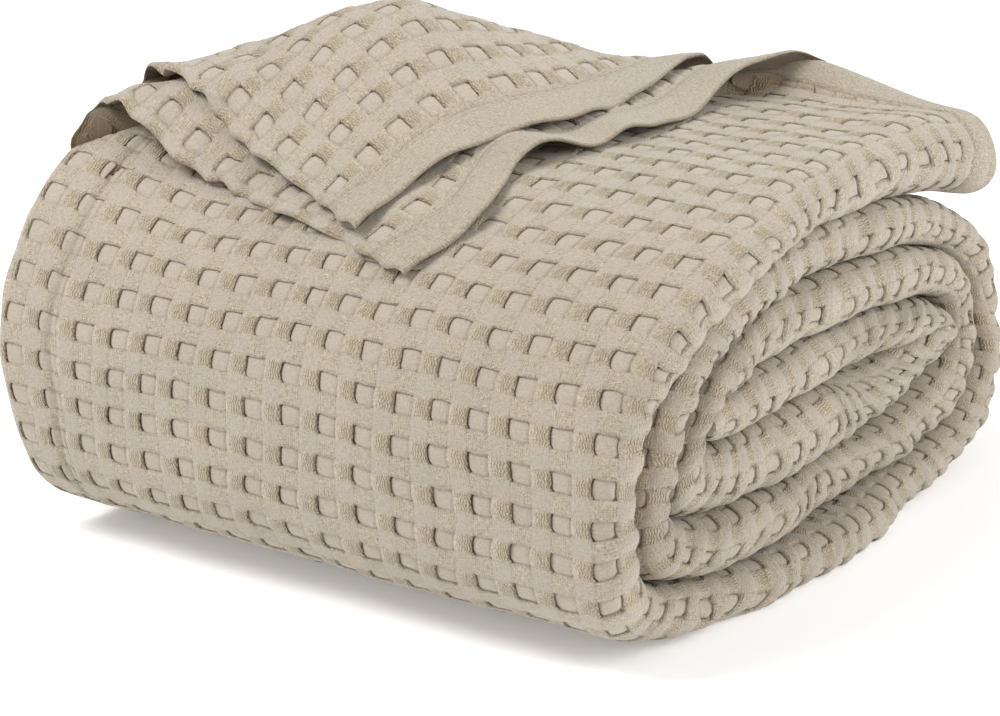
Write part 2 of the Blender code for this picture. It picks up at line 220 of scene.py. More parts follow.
def winding():
    """Points on the strip's outer and inner face: behind the middle, above the widest level."""
    outer, inner = [], []
    reaches = [[TOP_REACH, ROLL_DEPTH / 2, WIDEST_LEVEL + GROUND_PRESS, ROLL_DEPTH / 2]]
    within = []
    for row in TURNS:
        within.append([reach - thickness for reach, thickness in zip(reaches[-1], row[:4])])
        reaches.append([reach - LAYER_GAP for reach in within[-1]])
    y = np.linspace(STRIP_END[-1][0], 0, END_POINTS, endpoint=False)
    upper, lower = smooth_rows(STRIP_END, y)
    outer.append(np.stack([y, upper], 1))
    inner.append(np.stack([y, lower], 1))
    core_top = reaches[-1][0]
    core_level = core_top - CORE_THICKNESS / 2
    core_low = core_top - CORE_THICKNESS
    down = arc_angles()
    back = math.pi / 2 - down
    rise = down / (math.pi / 2)
    for turn, row in enumerate(TURNS):
        innermost = turn == len(TURNS) - 1
        top, front, bottom, behind = reaches[turn]
        in_top, in_front, in_bottom, in_behind = within[turn]
        next_top = reaches[turn + 1][0]
        if innermost:
            under = [CORE_SQUARENESS] * 4
            level = core_level
            in_top, in_bottom = in_top - core_level, core_level + in_bottom
        else:
            under = TURNS[turn + 1][4:]
            level = 0.0
        # From the top to the front
        y, z = corner_arc(down, front, top, row[4])
        v, w = corner_arc(down, in_front, in_top, under[0])
        outer.append(np.stack([-y, z], 1))
        inner.append(np.stack([-v, level + w], 1))
        # From the front to the bottom
        y, z = corner_arc(back, front, bottom, row[5])
        v, w = corner_arc(back, in_front, in_bottom, under[1])
        outer.append(np.stack([-y, -z], 1))
        inner.append(np.stack([-v, level - w], 1))
        # From the bottom to the back, where the innermost turn's inner face is level
        y, z = corner_arc(down, behind, bottom, row[6])
        v, w = corner_arc(down, in_behind, in_bottom, under[2])
        w = level - w
        if innermost:
            v, w = in_behind * rise, np.full_like(rise, core_level - in_bottom)
        outer.append(np.stack([y, -z], 1))
        inner.append(np.stack([v, w], 1))
        # From the back up to the next turn's top
        y, z = corner_arc(back, behind, next_top, row[7])
        if innermost:
            v, w = in_behind * (1 - rise), np.full_like(rise, core_low)
        else:
            v, w = corner_arc(back, in_behind, within[turn + 1][0], under[3])
        outer.append(np.stack([y, z], 1))
        inner.append(np.stack([v, w], 1))
    angle = down[: int(len(down) * CORE_CLOSING)]
    y, z = corner_arc(angle, reaches[-1][1], core_top - core_level, CORE_SQUARENESS)
    outer.append(np.stack([-y, core_level + z], 1))
    inner.append(np.stack([-y, core_level - z], 1))
    return np.concatenate(outer), np.concatenate(inner)


OUTER, INNER = winding()
LENGTH = np.concatenate([[0], np.cumsum(np.hypot(*np.diff(OUTER, axis=0).T))])
# Where the strip crosses the middle of the top
MIDDLE = np.interp(0, -OUTER[: END_POINTS + 1, 0], LENGTH[: END_POINTS + 1])
print("strip length", round(float(LENGTH[-1]), 3), "middle at", round(float(MIDDLE), 3))

# %% [markdown]
# After that, any place of the cloth is found from three numbers: its place across the strip, its
# share of the strip's thickness from the outer face to the inner, and its length along the strip.
# The skin and the layers' edges both use this one helper, so they always meet.


# %% Places on the strip
TOP_PART = 0.25  # the swells and the end's skew count up to here past the top's middle
WAVER = 0.0020  # the strip wanders to the side by this much,
WAVER_LENGTH = 0.190  # over this length


def length_at(quarters):
    """Length along the strip where a number of quarter turns end."""
    return float(LENGTH[END_POINTS + quarters * QUARTER_POINTS])


FIRST_FOOT = length_at(2)  # where the first turn is lowest
TURN_LENGTH = length_at(4)  # where the first whole turn ends
SECOND_FRONT = length_at(5)  # where the second turn is furthest forward


def on_winding(length):
    """Outer and inner point of the strip at a length from its end on top."""
    outer = np.stack([np.interp(length, LENGTH, OUTER[:, k]) for k in (0, 1)], -1)
    inner = np.stack([np.interp(length, LENGTH, INNER[:, k]) for k in (0, 1)], -1)
    return outer, inner


def reached(x, lengths):
    """Places across the strip, moved where its left side reaches further or less far."""
    reach = smooth_rows(LEFT_REACHES, lengths)[0]
    return x - reach * smooth_step((LEFT_SPREAD - HALF - x) / LEFT_SPREAD)


def swell(x, along):
    """Height of the swells at places across and behind the middle."""
    total = 0.0
    for place, behind, height, across, length in SWELLS:
        offset = -(((x - place) / across) ** 2) - ((along - behind) / length) ** 2
        total = total + height * np.exp(offset)
    return total


def skew(x):
    """How much further forward the strip's end lies at places across."""
    return END_SKEW * smooth_step((HALF - x) / SKEW_WIDTH)


def strip_place(x, share, lengths):
    """Points at places across, shares of the thickness and lengths along the strip."""
    outer, inner = on_winding(lengths)
    thick = np.linalg.norm(outer - inner, axis=1)[:, None]
    depth = share - CROWN / thick * (1 - (x / HALF) ** 2)
    y = outer[:, :1] + depth * (inner[:, :1] - outer[:, :1])
    z = outer[:, 1:] + depth * (inner[:, 1:] - outer[:, 1:])
    along = (MIDDLE - lengths)[:, None]
    top = (lengths < MIDDLE + TOP_PART)[:, None]
    z = z + np.where(top & (share < 0.5), swell(x, along) * (1 - 2 * share), 0.0)
    end = np.clip(along, 0, None) * np.where(top, 1, 0) / STRIP_END[-1][0]
    y = y - skew(x) * end
    x = reached(x, lengths[:, None]) + WAVER * np.sin(2 * math.pi * lengths[:, None] / WAVER_LENGTH)
    return np.stack([x, y, z + WIDEST_LEVEL], -1)


print("first foot", round(FIRST_FOOT, 3), "first turn", round(TURN_LENGTH, 3))

# %% [markdown]
# One repeat of the weave: a sunken pocket, bundles of loose thread standing proud to its left and
# right, flatter cloth above and below it, and a plain raised square between. A displacement
# modifier could press such a pattern in, but it only moves points straight out. Here a function
# gives the height and small sideways shifts from the place in repeats, so the ridges can hang over
# the pockets as they do in real cloth, and every sheet of the blanket shares it.

# %% Weave sizes
POCKET_WIDTH = 0.52  # of a repeat
POCKET_HEIGHT = 0.50
FACE_LEVEL = 0.0002  # ridges stand this much above the sheet, and pockets this much below
SIDE_CREVICE = 0.0013  # depth at a pocket's left and right side
LEVEL_CREVICE = 0.0009  # depth at its upper and lower side
THREAD_RISE = 0.0005  # how proud the loose threads stand
PUFF_RISE = 0.0008  # how far a puckered pocket's middle is pushed up
COLUMN_LINES = (0.010, 0.050, 0.13, 0.26, 0.39, 0.47, 0.510, 0.545, 0.62, 0.76, 0.90, 0.975)
ROW_LINES = (0.010, 0.060, 0.16, 0.28, 0.40, 0.485, 0.525, 0.63, 0.76, 0.89, 0.980)
CELLS = (97, 401)  # the unevenness repeats after so many pockets across and along
UNEVEN = np.random.default_rng(11).random((*CELLS, 6)) * 2 - 1
print("a pocket is", round(POCKET_WIDTH * REPEAT * 1000, 1), "mm wide")

# %% [markdown]
# The grid's lines lie closer together where the weave turns sharply, because evenly spaced lines
# would need several times as many points for the same crevices.


# %% Weave
def cell_noise(u, w, k):
    """A number from -1 to 1 for the pocket that each place is in."""
    return UNEVEN[np.floor(u).astype(int) % CELLS[0], np.floor(w).astype(int) % CELLS[1], k]


def weave(u, w, strength, puff):
    """Height of the cloth's face in metres, and its shifts across and along in repeats."""
    a, b = u - np.floor(u), w - np.floor(w)
    pocket_column = a < POCKET_WIDTH
    pocket_row = b < POCKET_HEIGHT
    in_pocket, in_thread = pocket_row & pocket_column, pocket_row & ~pocket_column
    in_flat = ~pocket_row & pocket_column
    # Places from -1 to 1 across the pocket or the ridge beside it
    x = np.where(pocket_column, 2 * a / POCKET_WIDTH, 2 * (a - POCKET_WIDTH) / (1 - POCKET_WIDTH)) - 1
    y = np.where(pocket_row, 2 * b / POCKET_HEIGHT, 2 * (b - POCKET_HEIGHT) / (1 - POCKET_HEIGHT)) - 1
    ax, ay = np.abs(x), np.abs(y)
    deep = 1 + 0.30 * cell_noise(u, w, 0)
    tilt = cell_noise(u, w, 1)
    crevice = np.maximum(SIDE_CREVICE * ax**11, LEVEL_CREVICE * ay**12)
    pocket = -FACE_LEVEL - deep * crevice + 0.0002 * tilt * x
    pocket = pocket + puff * PUFF_RISE * (1 - ax**3) * (1 - ay**3)
    rounded = (1 - 0.35 * ax**6) * (1 - 0.7 * ay**4)
    thread = FACE_LEVEL + THREAD_RISE * deep * rounded * smooth_step((x + 1.1) / 0.8)
    flat = FACE_LEVEL + 0.0002 * (1 - ay**2) * (1 - ax**4) + 0.0001 * tilt * x
    plain = FACE_LEVEL + 0.0002 * (1 - np.maximum(ax**4, ay**4)) + 0.0001 * tilt * y
    height = np.where(in_pocket, pocket, np.where(in_thread, thread, np.where(in_flat, flat, plain)))
    # The edges round a pocket hang over it a little, so its outline is a crevice from any side
    overhang = np.where(x > 0, 0.060, 0.030)
    shift_u = np.where(in_thread, x * ax**2 * overhang * (1 - 0.5 * ay**4), 0.0)
    round_off = 0.100 + 0.045 * puff
    shift_u = shift_u + np.where(in_pocket, x * ax**5 * 0.020 - x * ax * round_off * ay**6, 0.0)
    near = bell(np.minimum(a, 1 - a), 0.10) + bell(a - POCKET_WIDTH, 0.10)
    bend = np.sin(math.pi * np.clip(b / POCKET_HEIGHT, 0, 1)) * pocket_row
    shift_u = shift_u + near * bend * (0.040 * cell_noise(u + 0.25, w, 2) - 0.012)
    # Pockets differ in height and lean a little
    level = bell(np.minimum(b, 1 - b), 0.12) + bell(b - POCKET_HEIGHT, 0.12)
    shift_w = level * pocket_column * np.sin(math.pi * a / POCKET_WIDTH) * 0.034
    shift_w = shift_w * cell_noise(u, w + 0.25, 3)
    shift_w = shift_w + np.where(in_flat, y * ay**2 * 0.036, 0.0)
    shift_w = shift_w + np.where(in_pocket, y * ay**5 * 0.014, 0.0)
    # No row or column of pockets runs quite straight
    shift_u = shift_u + 0.07 * np.sin(0.62 * w + 1.4 * np.sin(0.31 * u + 0.4))
    shift_u = shift_u + 0.035 * np.sin(1.7 * w + u)
    shift_w = shift_w + 0.06 * np.sin(0.55 * u + 1.2 * np.sin(0.27 * w))
    shift_w = shift_w + 0.030 * np.sin(1.5 * u - 0.8 * w)
    return height * strength, shift_u, shift_w


def lines(start, end, within):
    """Places of the grid's lines from start to end, denser where the weave turns sharply."""
    places = []
    for whole in range(math.floor(start), math.ceil(end) + 1):
        places += [whole + part for part in within if start < whole + part < end]
    return np.array([start, *places, end])


# %% [markdown]
# A grid of points becomes a mesh in one call. Adding faces one by one with bmesh would do as well, but
# takes minutes at this number. Quads that a mask leaves out are not made. The places in repeats are kept
# as the UV map, so the shading follows the cloth, and a few attributes say where the pattern is woven,
# where stitching darkens the cloth and where painted shade darkens hollows and rims, and which way the
# rows face.


# %% Grid to mesh
def grid_quads(rows, columns, mask=None):
    index = np.arange(rows * columns).reshape(rows, columns)
    quads = np.stack([index[:-1, :-1], index[1:, :-1], index[1:, 1:], index[:-1, 1:]], -1)
    if mask is not None:
        quads = quads[mask]
    return quads.reshape(-1, 4)


def make_mesh(name, points, quads, uv, material, woven=0.0, stitching_and_shade=0.0, facing=0.0):
    """A smooth mesh from points, quads, places in repeats and three values for the shading."""
    data = bpy.data.meshes.new(name)
    points = np.reshape(points, (-1, 3)) + CENTRING
    data.vertices.add(len(points))
    data.vertices.foreach_set("co", np.asarray(points, np.float32).ravel())
    data.loops.add(quads.size)
    data.loops.foreach_set("vertex_index", quads.astype(np.int32).ravel())
    data.polygons.add(len(quads))
    data.polygons.foreach_set("loop_start", np.arange(0, quads.size, 4, dtype=np.int32))
    data.update(calc_edges=True)
    layer = data.uv_layers.new(name="repeats")
    uv = np.reshape(uv, (-1, 2)).astype(np.float32)
    layer.data.foreach_set("uv", uv[quads.ravel()].ravel())
    # The second value is darker stitching together with painted shade in hollows and under rims.
    for label, values in (("woven", woven), ("stitching_and_shade", stitching_and_shade), ("facing", facing)):
        values = np.broadcast_to(np.asarray(values, np.float32).ravel(), len(points))
        data.attributes.new(label, "FLOAT", "POINT").data.foreach_set("value", values.copy())
    data.polygons.foreach_set("use_smooth", np.ones(len(quads), bool))
    data.materials.append(material)
    data.validate()
    piece = bpy.data.objects.new(name, data)
    bpy.context.scene.collection.objects.link(piece)
    return piece


def grid_normals(points):
    """Unit normals of a grid of points, rows first."""
    down = np.gradient(points, axis=0)
    across = np.gradient(points, axis=1)
    normals = np.cross(down, across)
    return normals / np.maximum(np.linalg.norm(normals, axis=2, keepdims=True), 1e-12), down, across


# %% [markdown]
# Real cloth is never even. Sums of a few sine waves give slow swells and tighter lumps. They are
# smooth, need no random numbers and stay where they are when something else changes.


# %% Unevenness
def roll_noise(u, w):
    """Slow unevenness of the cloth, from -1 to 1 or so."""
    return (
        np.sin(0.9 * u + 0.35 * w + 1.3) * np.sin(0.55 * w - 0.3 * u)
        + 0.7 * np.sin(1.9 * w + 0.7 * np.sin(0.6 * u) + 2.0) * np.sin(0.45 * u + 0.8)
        + 0.5 * np.sin(2.3 * u - 1.1 * w)
    ) / 1.6


def fold_noise(u, w):
    """Lumps and dents where the strip folds, from -1 to 1 or so."""
    return (
        np.sin(1.9 * w + 2.1 * np.sin(0.9 * u)) * np.sin(1.3 * u + 0.8 * np.sin(0.43 * w))
        + 0.6 * np.sin(0.83 * w + 1.7 * u + 2.0) + 0.4 * np.sin(3.1 * w - 2.6 * u)
    ) / 1.5


# %% [markdown]
# Next comes the strip. Its rows of pockets are counted from the row that shows at the front's upper
# turn, and lie a little closer together down the front, as the real ones do. Its columns run from
# the left side over the outer face, round the big fold and back along the inner face.

# %% Rows of pockets
ROW_ZERO = (-0.1590, 0.0645)  # behind the middle and above the widest level
ROW_SPACING_TOP = 0.985  # of a repeat
ROW_SPACING_FRONT = 0.900
FIRST_TURN_POINTS = END_POINTS + 3 * QUARTER_POINTS  # row zero is looked for among these

near_zero = np.argmin(
    np.hypot(OUTER[:FIRST_TURN_POINTS, 0] - ROW_ZERO[0], OUTER[:FIRST_TURN_POINTS, 1] - ROW_ZERO[1])
)
ROW_LENGTHS = REPEAT * (
    ROW_SPACING_TOP
    + (ROW_SPACING_FRONT - ROW_SPACING_TOP) * smooth_step((LENGTH - LENGTH[near_zero] + 0.07) / 0.09)
)
ROWS = np.concatenate([[0], np.cumsum(np.diff(LENGTH) / ROW_LENGTHS[1:])])
ROWS -= ROWS[near_zero]
print("rows of pockets", round(float(ROWS[0]), 2), "to", round(float(ROWS[-1]), 2))


def length_of_row(w):
    return np.interp(w, ROWS, LENGTH)


def row_of_length(length):
    return np.interp(length, LENGTH, ROWS)


# %% [markdown]
# Without its weave, the strip's skin is a smooth sheet round a stadium shape: straight over the
# outer face, half round the fold, and straight back. The part that no one can see, deep on the inner
# face, gets a few wide columns instead of the fine ones.


# %% Strip's smooth skin
def strip_points(lengths, columns, spread):
    """Points of the skin, their places across in repeats, and their shares of the thickness."""
    outer, inner = on_winding(lengths)
    thick = np.linalg.norm(outer - inner, axis=1)[:, None]
    radius = thick / 2
    fold = HALF + smooth_rows(FOLD_REACHES, lengths)[0][:, None] - FOLD_BULGE * thick
    start = FIRST_POCKET + REPEAT * columns[None, :]
    finish = 2 * fold + math.pi * radius + HALF - EDGE_DEPTH
    last = start[:, -1:]
    rest = last + (finish - last) * spread[None, :]
    run = np.concatenate([np.broadcast_to(start, (len(lengths), start.shape[1])), rest], 1)
    angle = np.clip((run - fold) / radius, 0, math.pi)
    x = np.where(run < fold, run, fold + 2 * FOLD_BULGE * radius * np.sin(angle))
    x = np.where(angle >= math.pi, fold - (run - fold - math.pi * radius), x)
    share = (1 - np.cos(angle)) / 2
    return strip_place(x, share, lengths), (run - FIRST_POCKET) / REPEAT, share


# %% [markdown]
# The relief is laid over that skin. On the fold the eight layers bend round each other, so the
# pockets pucker and the outline is scalloped. The left shoulder is crumpled. The hems are doubled
# cloth with a sunken line of stitching.


# %% Strip's relief
SEAM = 1.25  # the side hem's stitching, in repeats from the first pocket
END_HEM = 0.0255
FOLD_STRENGTH = 1.6  # how much stronger the weave is on the fold
CRUMPLE_HEIGHT = 0.0015
SCALLOP_HEIGHT = 0.0012
LUMP_HEIGHT = 0.0016
SEAM_DEPTH = 0.0011
STITCH_DEPTH = 0.0009
HEM_RISE = 0.0008  # the end hem is double
BORDER_TUCK = -0.0010
END_BORDER_TUCK = -0.0012
STITCH_ROWS = (
    # past the end hem, width, strength
    (0.0010, 0.0011, 1.0),
    (0.0048, 0.0010, 0.7),
)


def end_stitches(lengths):
    """The end hem's two rows of stitching, from 0 to 1."""
    rows = (deep * bell(lengths - END_HEM - past, size) for past, size, deep in STITCH_ROWS)
    return sum(rows)[:, None]


def strip_relief(u, w, share, lengths, fine, hem):
    """Height of the skin in metres, and its shifts across and along in repeats."""
    folded = np.sin(np.clip(share, 0, 1) * math.pi)
    strength = fine * hem * (1 + (FOLD_STRENGTH - 1) * folded)
    strength = strength * (1 - 0.25 * smooth_step((SEAM - u) / 0.1))
    # The left shoulder is crumpled, and its pockets pucker
    crumple = smooth_step((3.4 - u) / 2.4) * smooth_step((0.34 - lengths) / 0.10)[:, None]
    height, shift_u, shift_w = weave(u, w, strength, np.maximum(folded, 0.7 * crumple))
    height = height + CRUMPLE_HEIGHT * crumple * hem * fine * fold_noise(1.2 * u, 1.3 * w)
    height = height + (0.0009 + 0.0006 * folded) * roll_noise(u, w) * fine
    height = height + 0.0006 * smooth_step((SEAM - u) / 0.10)
    height = height - SEAM_DEPTH * bell(u - SEAM, 0.055)
    height = height - STITCH_DEPTH * end_stitches(lengths) + HEM_RISE * (1 - hem) * fine
    # Scallops round the fold, where each pocket puckers
    wave = np.sin(2 * math.pi * (w + 0.02 * np.sin(5.3 * u + 2 * np.sin(1.1 * w))))
    height = height - SCALLOP_HEIGHT * fine * folded * (wave + 0.25 * wave * wave)
    height = height + LUMP_HEIGHT * fine * folded * fold_noise(u, w)
    shift_w = shift_w + 0.10 * folded * np.sin(2.7 * u + 2.0 * np.sin(0.9 * w))
    # The skin's two open borders are tucked in against the hems
    height = np.where(u < u[:, :1] + 0.001, BORDER_TUCK, height)
    if lengths[0] == LENGTH[0]:
        height[0] = END_BORDER_TUCK
    return height, shift_u * strength, shift_w * strength


# %% [markdown]
# Lamps alone leave the narrow hollows too light, because little of their depth can be modelled. So each
# point also keeps how much darker it is coloured: along the stitching, which is darker cloth, and with
# painted shade where two turns' folds meet at the right side, at the second turn's recessed front, and
# under the turned-back corner's far end.


# %% Strip's darker places
UNDER_CORNER = (0.068, 0.092, 0.024, 0.034)  # across, behind the middle, size across, size along
MEETING_SHADE = 0.46
RECESS_SHADE = 0.40
UNDER_CORNER_SHADE = 1.3


def strip_shade(points, u, share, lengths):
    """How much darker the skin is coloured: stitching, and painted shade in hollows, from 0 to 1 or so.
    """
    x, y = points[..., 0], points[..., 1]
    dark = 0.5 * bell(u - SEAM, 0.06) * (share < 0.5) + 0.7 * end_stitches(lengths)
    # Painted shade where one turn's fold meets the next, and in the second turn's recess
    meeting = smooth_step((share - 0.80) / 0.15)
    meeting = meeting + smooth_step((0.20 - share) / 0.15) * (lengths > TURN_LENGTH)[:, None]
    recess = bell(lengths - SECOND_FRONT, 0.075)[:, None]
    at_fold = smooth_step((x - HALF + 0.020) / 0.010)
    dark = dark + (MEETING_SHADE * meeting + RECESS_SHADE * recess) * at_fold
    # Painted shade under the turned-back corner's far end
    place, behind, across, length = UNDER_CORNER
    under = np.exp(-(((x - place) / across) ** 2) - ((y - behind) / length) ** 2)
    return dark + UNDER_CORNER_SHADE * under * (share < 0.5) * (lengths < MIDDLE)[:, None]


# %% [markdown]
# One call now makes a stretch of the strip's skin: smooth points, moved along their normal by the
# relief and along the sheet by its shifts. A point below the ground is pressed flat on it.


# %% Strip's sheets
INNER_FINE = 19.2  # columns past this lie on the inner face and stay coarse


def strip_sheet(name, rows, columns, spread, material):
    """A stretch of the skin as a mesh, and its flat width and length."""
    lengths = length_of_row(rows)
    points, u, share = strip_points(lengths, columns, spread)
    w = np.broadcast_to(rows[:, None], u.shape)
    normals, down, across = grid_normals(points)
    step_u = np.gradient(u, axis=1)[..., None]
    step_w = np.gradient(w, axis=0)[..., None]
    fine = np.concatenate([np.ones(len(columns)), np.zeros(len(spread))])
    fine = fine * smooth_step((INNER_FINE + 0.4 - u) / 0.6)
    hem = smooth_step((lengths - END_HEM) / 0.004)[:, None]
    height, shift_u, shift_w = strip_relief(u, w, share, lengths, fine, hem)
    points = points + normals * height[..., None]
    points = points + across / step_u * shift_u[..., None]
    points = points + down / step_w * shift_w[..., None]
    points[..., 2] = np.maximum(points[..., 2], 0.0)
    woven = hem * np.ones_like(u)
    dark = strip_shade(points, u, share, lengths)
    facing = down[..., 1] / np.maximum(np.linalg.norm(down, axis=2), 1e-9)
    if rows[-1] == ROWS[-1]:
        # A last row in the middle of the strip's thickness shuts its inner end
        outer, inner = on_winding(lengths[-1:])
        last = points[-1:].copy()
        last[..., 1:] = (outer[0] + inner[0]) / 2 + (0, WIDEST_LEVEL)
        points = np.concatenate([points, last])
        values = (u, w, woven, dark, facing)
        u, w, woven, dark, facing = (np.concatenate([value, value[-1:]]) for value in values)
    flat = (float(np.ptp(u, axis=1).mean()) * REPEAT, float(lengths[-1] - lengths[0]))
    uv = np.stack([u, w], -1)
    return make_mesh(name, points, grid_quads(*u.shape), uv, material, woven, dark, facing), flat


# %% [markdown]
# The left side of the strip shows the edges of its layers: two side hems, a fold of two layers and
# a fold of four. Eight separate sheets would cut into each other where they are squeezed, so they
# are one narrow ribbon with four rounded ridges, which runs the strip's whole length.

# %% Layers' edges
LEFT_EDGES = (
    # share of the thickness, how far it sits in, points around it
    (0.125, 0.0000, 5),
    (0.125, 0.0030, 5),
    (0.250, 0.0050, 7),
    (0.500, 0.0025, 11),
)


def edge_profile():
    """Inset and thickness share of the left side's points, from the outer face to the inner."""
    insets, shares = [], []
    start = 0.0
    for share, inset, count in LEFT_EDGES:
        for k in range(count):
            angle = math.pi * k / (count - 1)
            insets.append(inset + EDGE_DEPTH * (1 - math.sin(angle) ** 0.7))
            shares.append(start + share * (1 - math.cos(angle)) / 2)
        start += share
    return np.array(insets), np.array(shares)


def edge_wander(rows, shares, insets):
    """The edges don't lie quite in line: how far each is set in, apart from the grooves."""
    wander = 0.0012 * np.sin(rows * 1.7 + 9 * shares) * np.sin(rows * 0.43 + 4)
    return np.abs(wander) * (insets < EDGE_DEPTH)


def left_side(material):
    rows = lines(ROWS[0], ROWS[-1], (0.12, 0.38, 0.62, 0.88))
    lengths = length_of_row(rows)
    outer, inner = on_winding(lengths)
    thick = np.linalg.norm(outer - inner, axis=1)[:, None]
    insets, shares = edge_profile()
    depth = EDGE_DEPTH * (0.1 + 0.9 * smooth_step((thick - 0.012) / 0.010))
    inset = insets[None, :] * depth / EDGE_DEPTH + edge_wander(rows[:, None], shares, insets)
    share = np.broadcast_to(shares[None, :], inset.shape)
    points = strip_place(-HALF + inset, share, lengths)[:, ::-1]
    points[..., 2] = np.maximum(points[..., 2], 0.0)
    # The hems are plain, so this UV map only turns their threads along the ribbon
    u = np.broadcast_to(-0.4 - 0.6 * shares[::-1][None, :], share.shape)
    w = np.broadcast_to(rows[:, None], share.shape)
    uv = np.stack([u, w], -1)
    return make_mesh("layer_edges", points, grid_quads(*share.shape), uv, material)


# %% [markdown]
# The strip's end, on top at the back, shows the end hems of all eight layers. They are one rippled
# face, and its borders lie a little inside the skin and the ribbon that they meet, so no gap shows.

# %% End hems
HEM_COUNT = 8
END_TUCK = 0.0014  # how far the face's upper and lower border lie inside the skin
SIDE_TUCK = 0.0009  # and its right border


def strip_end(material):
    """The end hems, as one rippled face across the strip's end."""
    outer, inner = on_winding(np.array([0.0]))
    thick = float(np.linalg.norm(outer - inner))
    fold, radius = HALF + FOLD_REACHES[0][1] - FOLD_BULGE * thick, thick / 2
    insets, shares = edge_profile()
    insets = insets + edge_wander(ROWS[0], shares, insets)
    share = np.linspace(0, 1, 57)
    across = np.linspace(0, 1, 90)[None, :]
    left = -HALF + np.interp(share, shares + 1e-6 * np.arange(len(shares)), insets)
    right = fold + radius * np.sin(np.arccos(1 - 2 * share)) - SIDE_TUCK
    x = left[:, None] + (right - left)[:, None] * across
    share = np.broadcast_to(share[:, None], x.shape)
    first, last = share < 0.01, share > 0.99
    level = share + END_TUCK / thick * (first * 1.0 - last)
    level = level - CROWN / thick * (1 - (x / HALF) ** 2)
    y = outer[0, 0] + level * (inner[0, 0] - outer[0, 0])
    z = outer[0, 1] + level * (inner[0, 1] - outer[0, 1])
    z = z + np.where(share < 0.5, swell(x, MIDDLE) * (1 - 2 * share), 0.0)
    y = y - skew(x)
    # Each hem bulges a little, and they don't quite line up
    hem = np.floor(share * (HEM_COUNT - 0.001))
    bulge = np.abs(np.sin(share * HEM_COUNT * math.pi)) ** 0.6
    uneven = 0.0010 * np.sin(hem * 2.4 + x * 31) - 0.0012
    inside = smooth_step(across / 0.012) * smooth_step((1 - across) / 0.012)
    bordering = first | last
    y = y + (0.0022 + uneven) * bulge * inside * (1 - bordering)
    y = y - 0.0020 * bordering - 0.0004 * (1 - inside)
    points = np.stack([x, y, z + WIDEST_LEVEL], -1)
    uv = np.stack([x / REPEAT, -30 - share], -1)
    return make_mesh("end_hems", points, grid_quads(*x.shape)[:, ::-1], uv, material)


# %% [markdown]
# The blanket's loose corner is two layers of cloth, turned back over a slanting crest. A pinned cloth
# simulation would settle into folds of its own choosing. Here each layer is laid out flat first, in
# repeats from its corner, and carried onto a surface that rises from the strip, turns over the
# crest and settles forward. These tables hold each layer's outline and heights.

# %% Turned-back corner's sizes
LOWER_BOW = (
    # part of the end hem from the corner, how far the hem bows outwards
    (0.000, 0.0000),
    (0.094, 0.0085),
    (0.159, 0.0085),
    (0.225, -0.0006),
    (0.281, -0.0065),
    (0.375, 0.0010),
    (0.468, 0.0035),
    (0.562, 0.0030),
    (0.656, 0.0005),
    (0.750, -0.0070),
    (0.843, -0.0095),
    (1.000, 0.0000),
)
UPPER_BOW = (
    # part of the end hem from the corner, how far the hem bows outwards
    (0.00, 0.000),
    (0.20, 0.004),
    (0.35, 0.010),
    (0.50, 0.020),
    (0.65, 0.019),
    (0.85, 0.009),
    (1.00, 0.000),
)
LOWER_LAYER = {
    # from the left end to the right: across, behind the middle
    "crest": ((-0.1640, -0.106), (0.088, 0.130)),
    "corner": (0.038, -0.156),
    "rest": 0.0034,  # height above the strip where the layer lies flat
    # part of the crest, and there its height, the length of the slope before it, the turn's radius
    "heights": (
        (0.00, 0.028),
        (0.23, 0.029),
        (0.42, 0.030),
        (0.605, 0.016),
        (0.762, 0.011),
        (0.93, 0.022),
        (1.00, 0.0245),
    ),
    "lengths": ((0.00, 0.045), (0.42, 0.070), (1.00, 0.055)),
    "turn": ((0.00, 0.011), (0.42, 0.013), (1.00, 0.010)),
    "bow": LOWER_BOW,
    # repeats along the end hem, height, half width and depth in repeats
    "waves": ((4.9, 0.008, 0.9, 2.2), (7.6, 0.004, 1.1, 2.0), (2.2, 0.002, 0.8, 1.0)),
}
UPPER_LAYER = {
    "crest": ((-0.1640, -0.075), (0.038, 0.104)),
    "corner": (0.005, -0.141),
    "rest": 0.0078,
    "heights": (
        (0.00, 0.029),
        (0.10, 0.029),
        (0.20, 0.0345),
        (0.43, 0.049),
        (0.60, 0.0365),
        (0.83, 0.0165),
        (1.00, 0.017),
    ),
    "lengths": ((0.00, 0.070), (0.43, 0.125), (1.00, 0.055)),
    "turn": ((0.00, 0.012), (0.43, 0.014), (1.00, 0.009)),
    "bow": UPPER_BOW,
    "waves": ((3.0, 0.002, 0.8, 1.2), (6.2, 0.003, 1.2, 1.6)),
}
for label, sizes in (("lower", LOWER_LAYER), ("upper", UPPER_LAYER)):
    print(label, "layer's highest crest", max(height for _, height in sizes["heights"]))

# %% [markdown]
# The strip's top is curved, so a height above it is measured at right angles to its profile.

# %% Heights above the strip
PROFILE_POINTS = END_POINTS + QUARTER_POINTS
PROFILE_Y, PROFILE_Z = OUTER[:PROFILE_POINTS].T
PROFILE_ALONG = MIDDLE - LENGTH[:PROFILE_POINTS]


def on_strip(x, along, height):
    """Points at a height above the strip's upper face."""
    knots = PROFILE_ALONG[::-1]
    y = np.interp(along, knots, PROFILE_Y[::-1])
    z = np.interp(along, knots, PROFILE_Z[::-1])
    slope_y = np.interp(along, knots, np.gradient(PROFILE_Y, PROFILE_ALONG)[::-1])
    slope_z = np.interp(along, knots, np.gradient(PROFILE_Z, PROFILE_ALONG)[::-1])
    size = np.hypot(slope_y, slope_z)
    return np.stack(
        [x, y - slope_z / size * height, z + slope_y / size * height + WIDEST_LEVEL], -1
    )


# %% [markdown]
# The surface of a turned layer is worked out as a table of profiles across the crest: over the top,
# down round the turn, and back under to its foot, which is sunk a little into the strip. Each
# profile is stepped by its own length, so the cloth keeps its size when it is carried over.

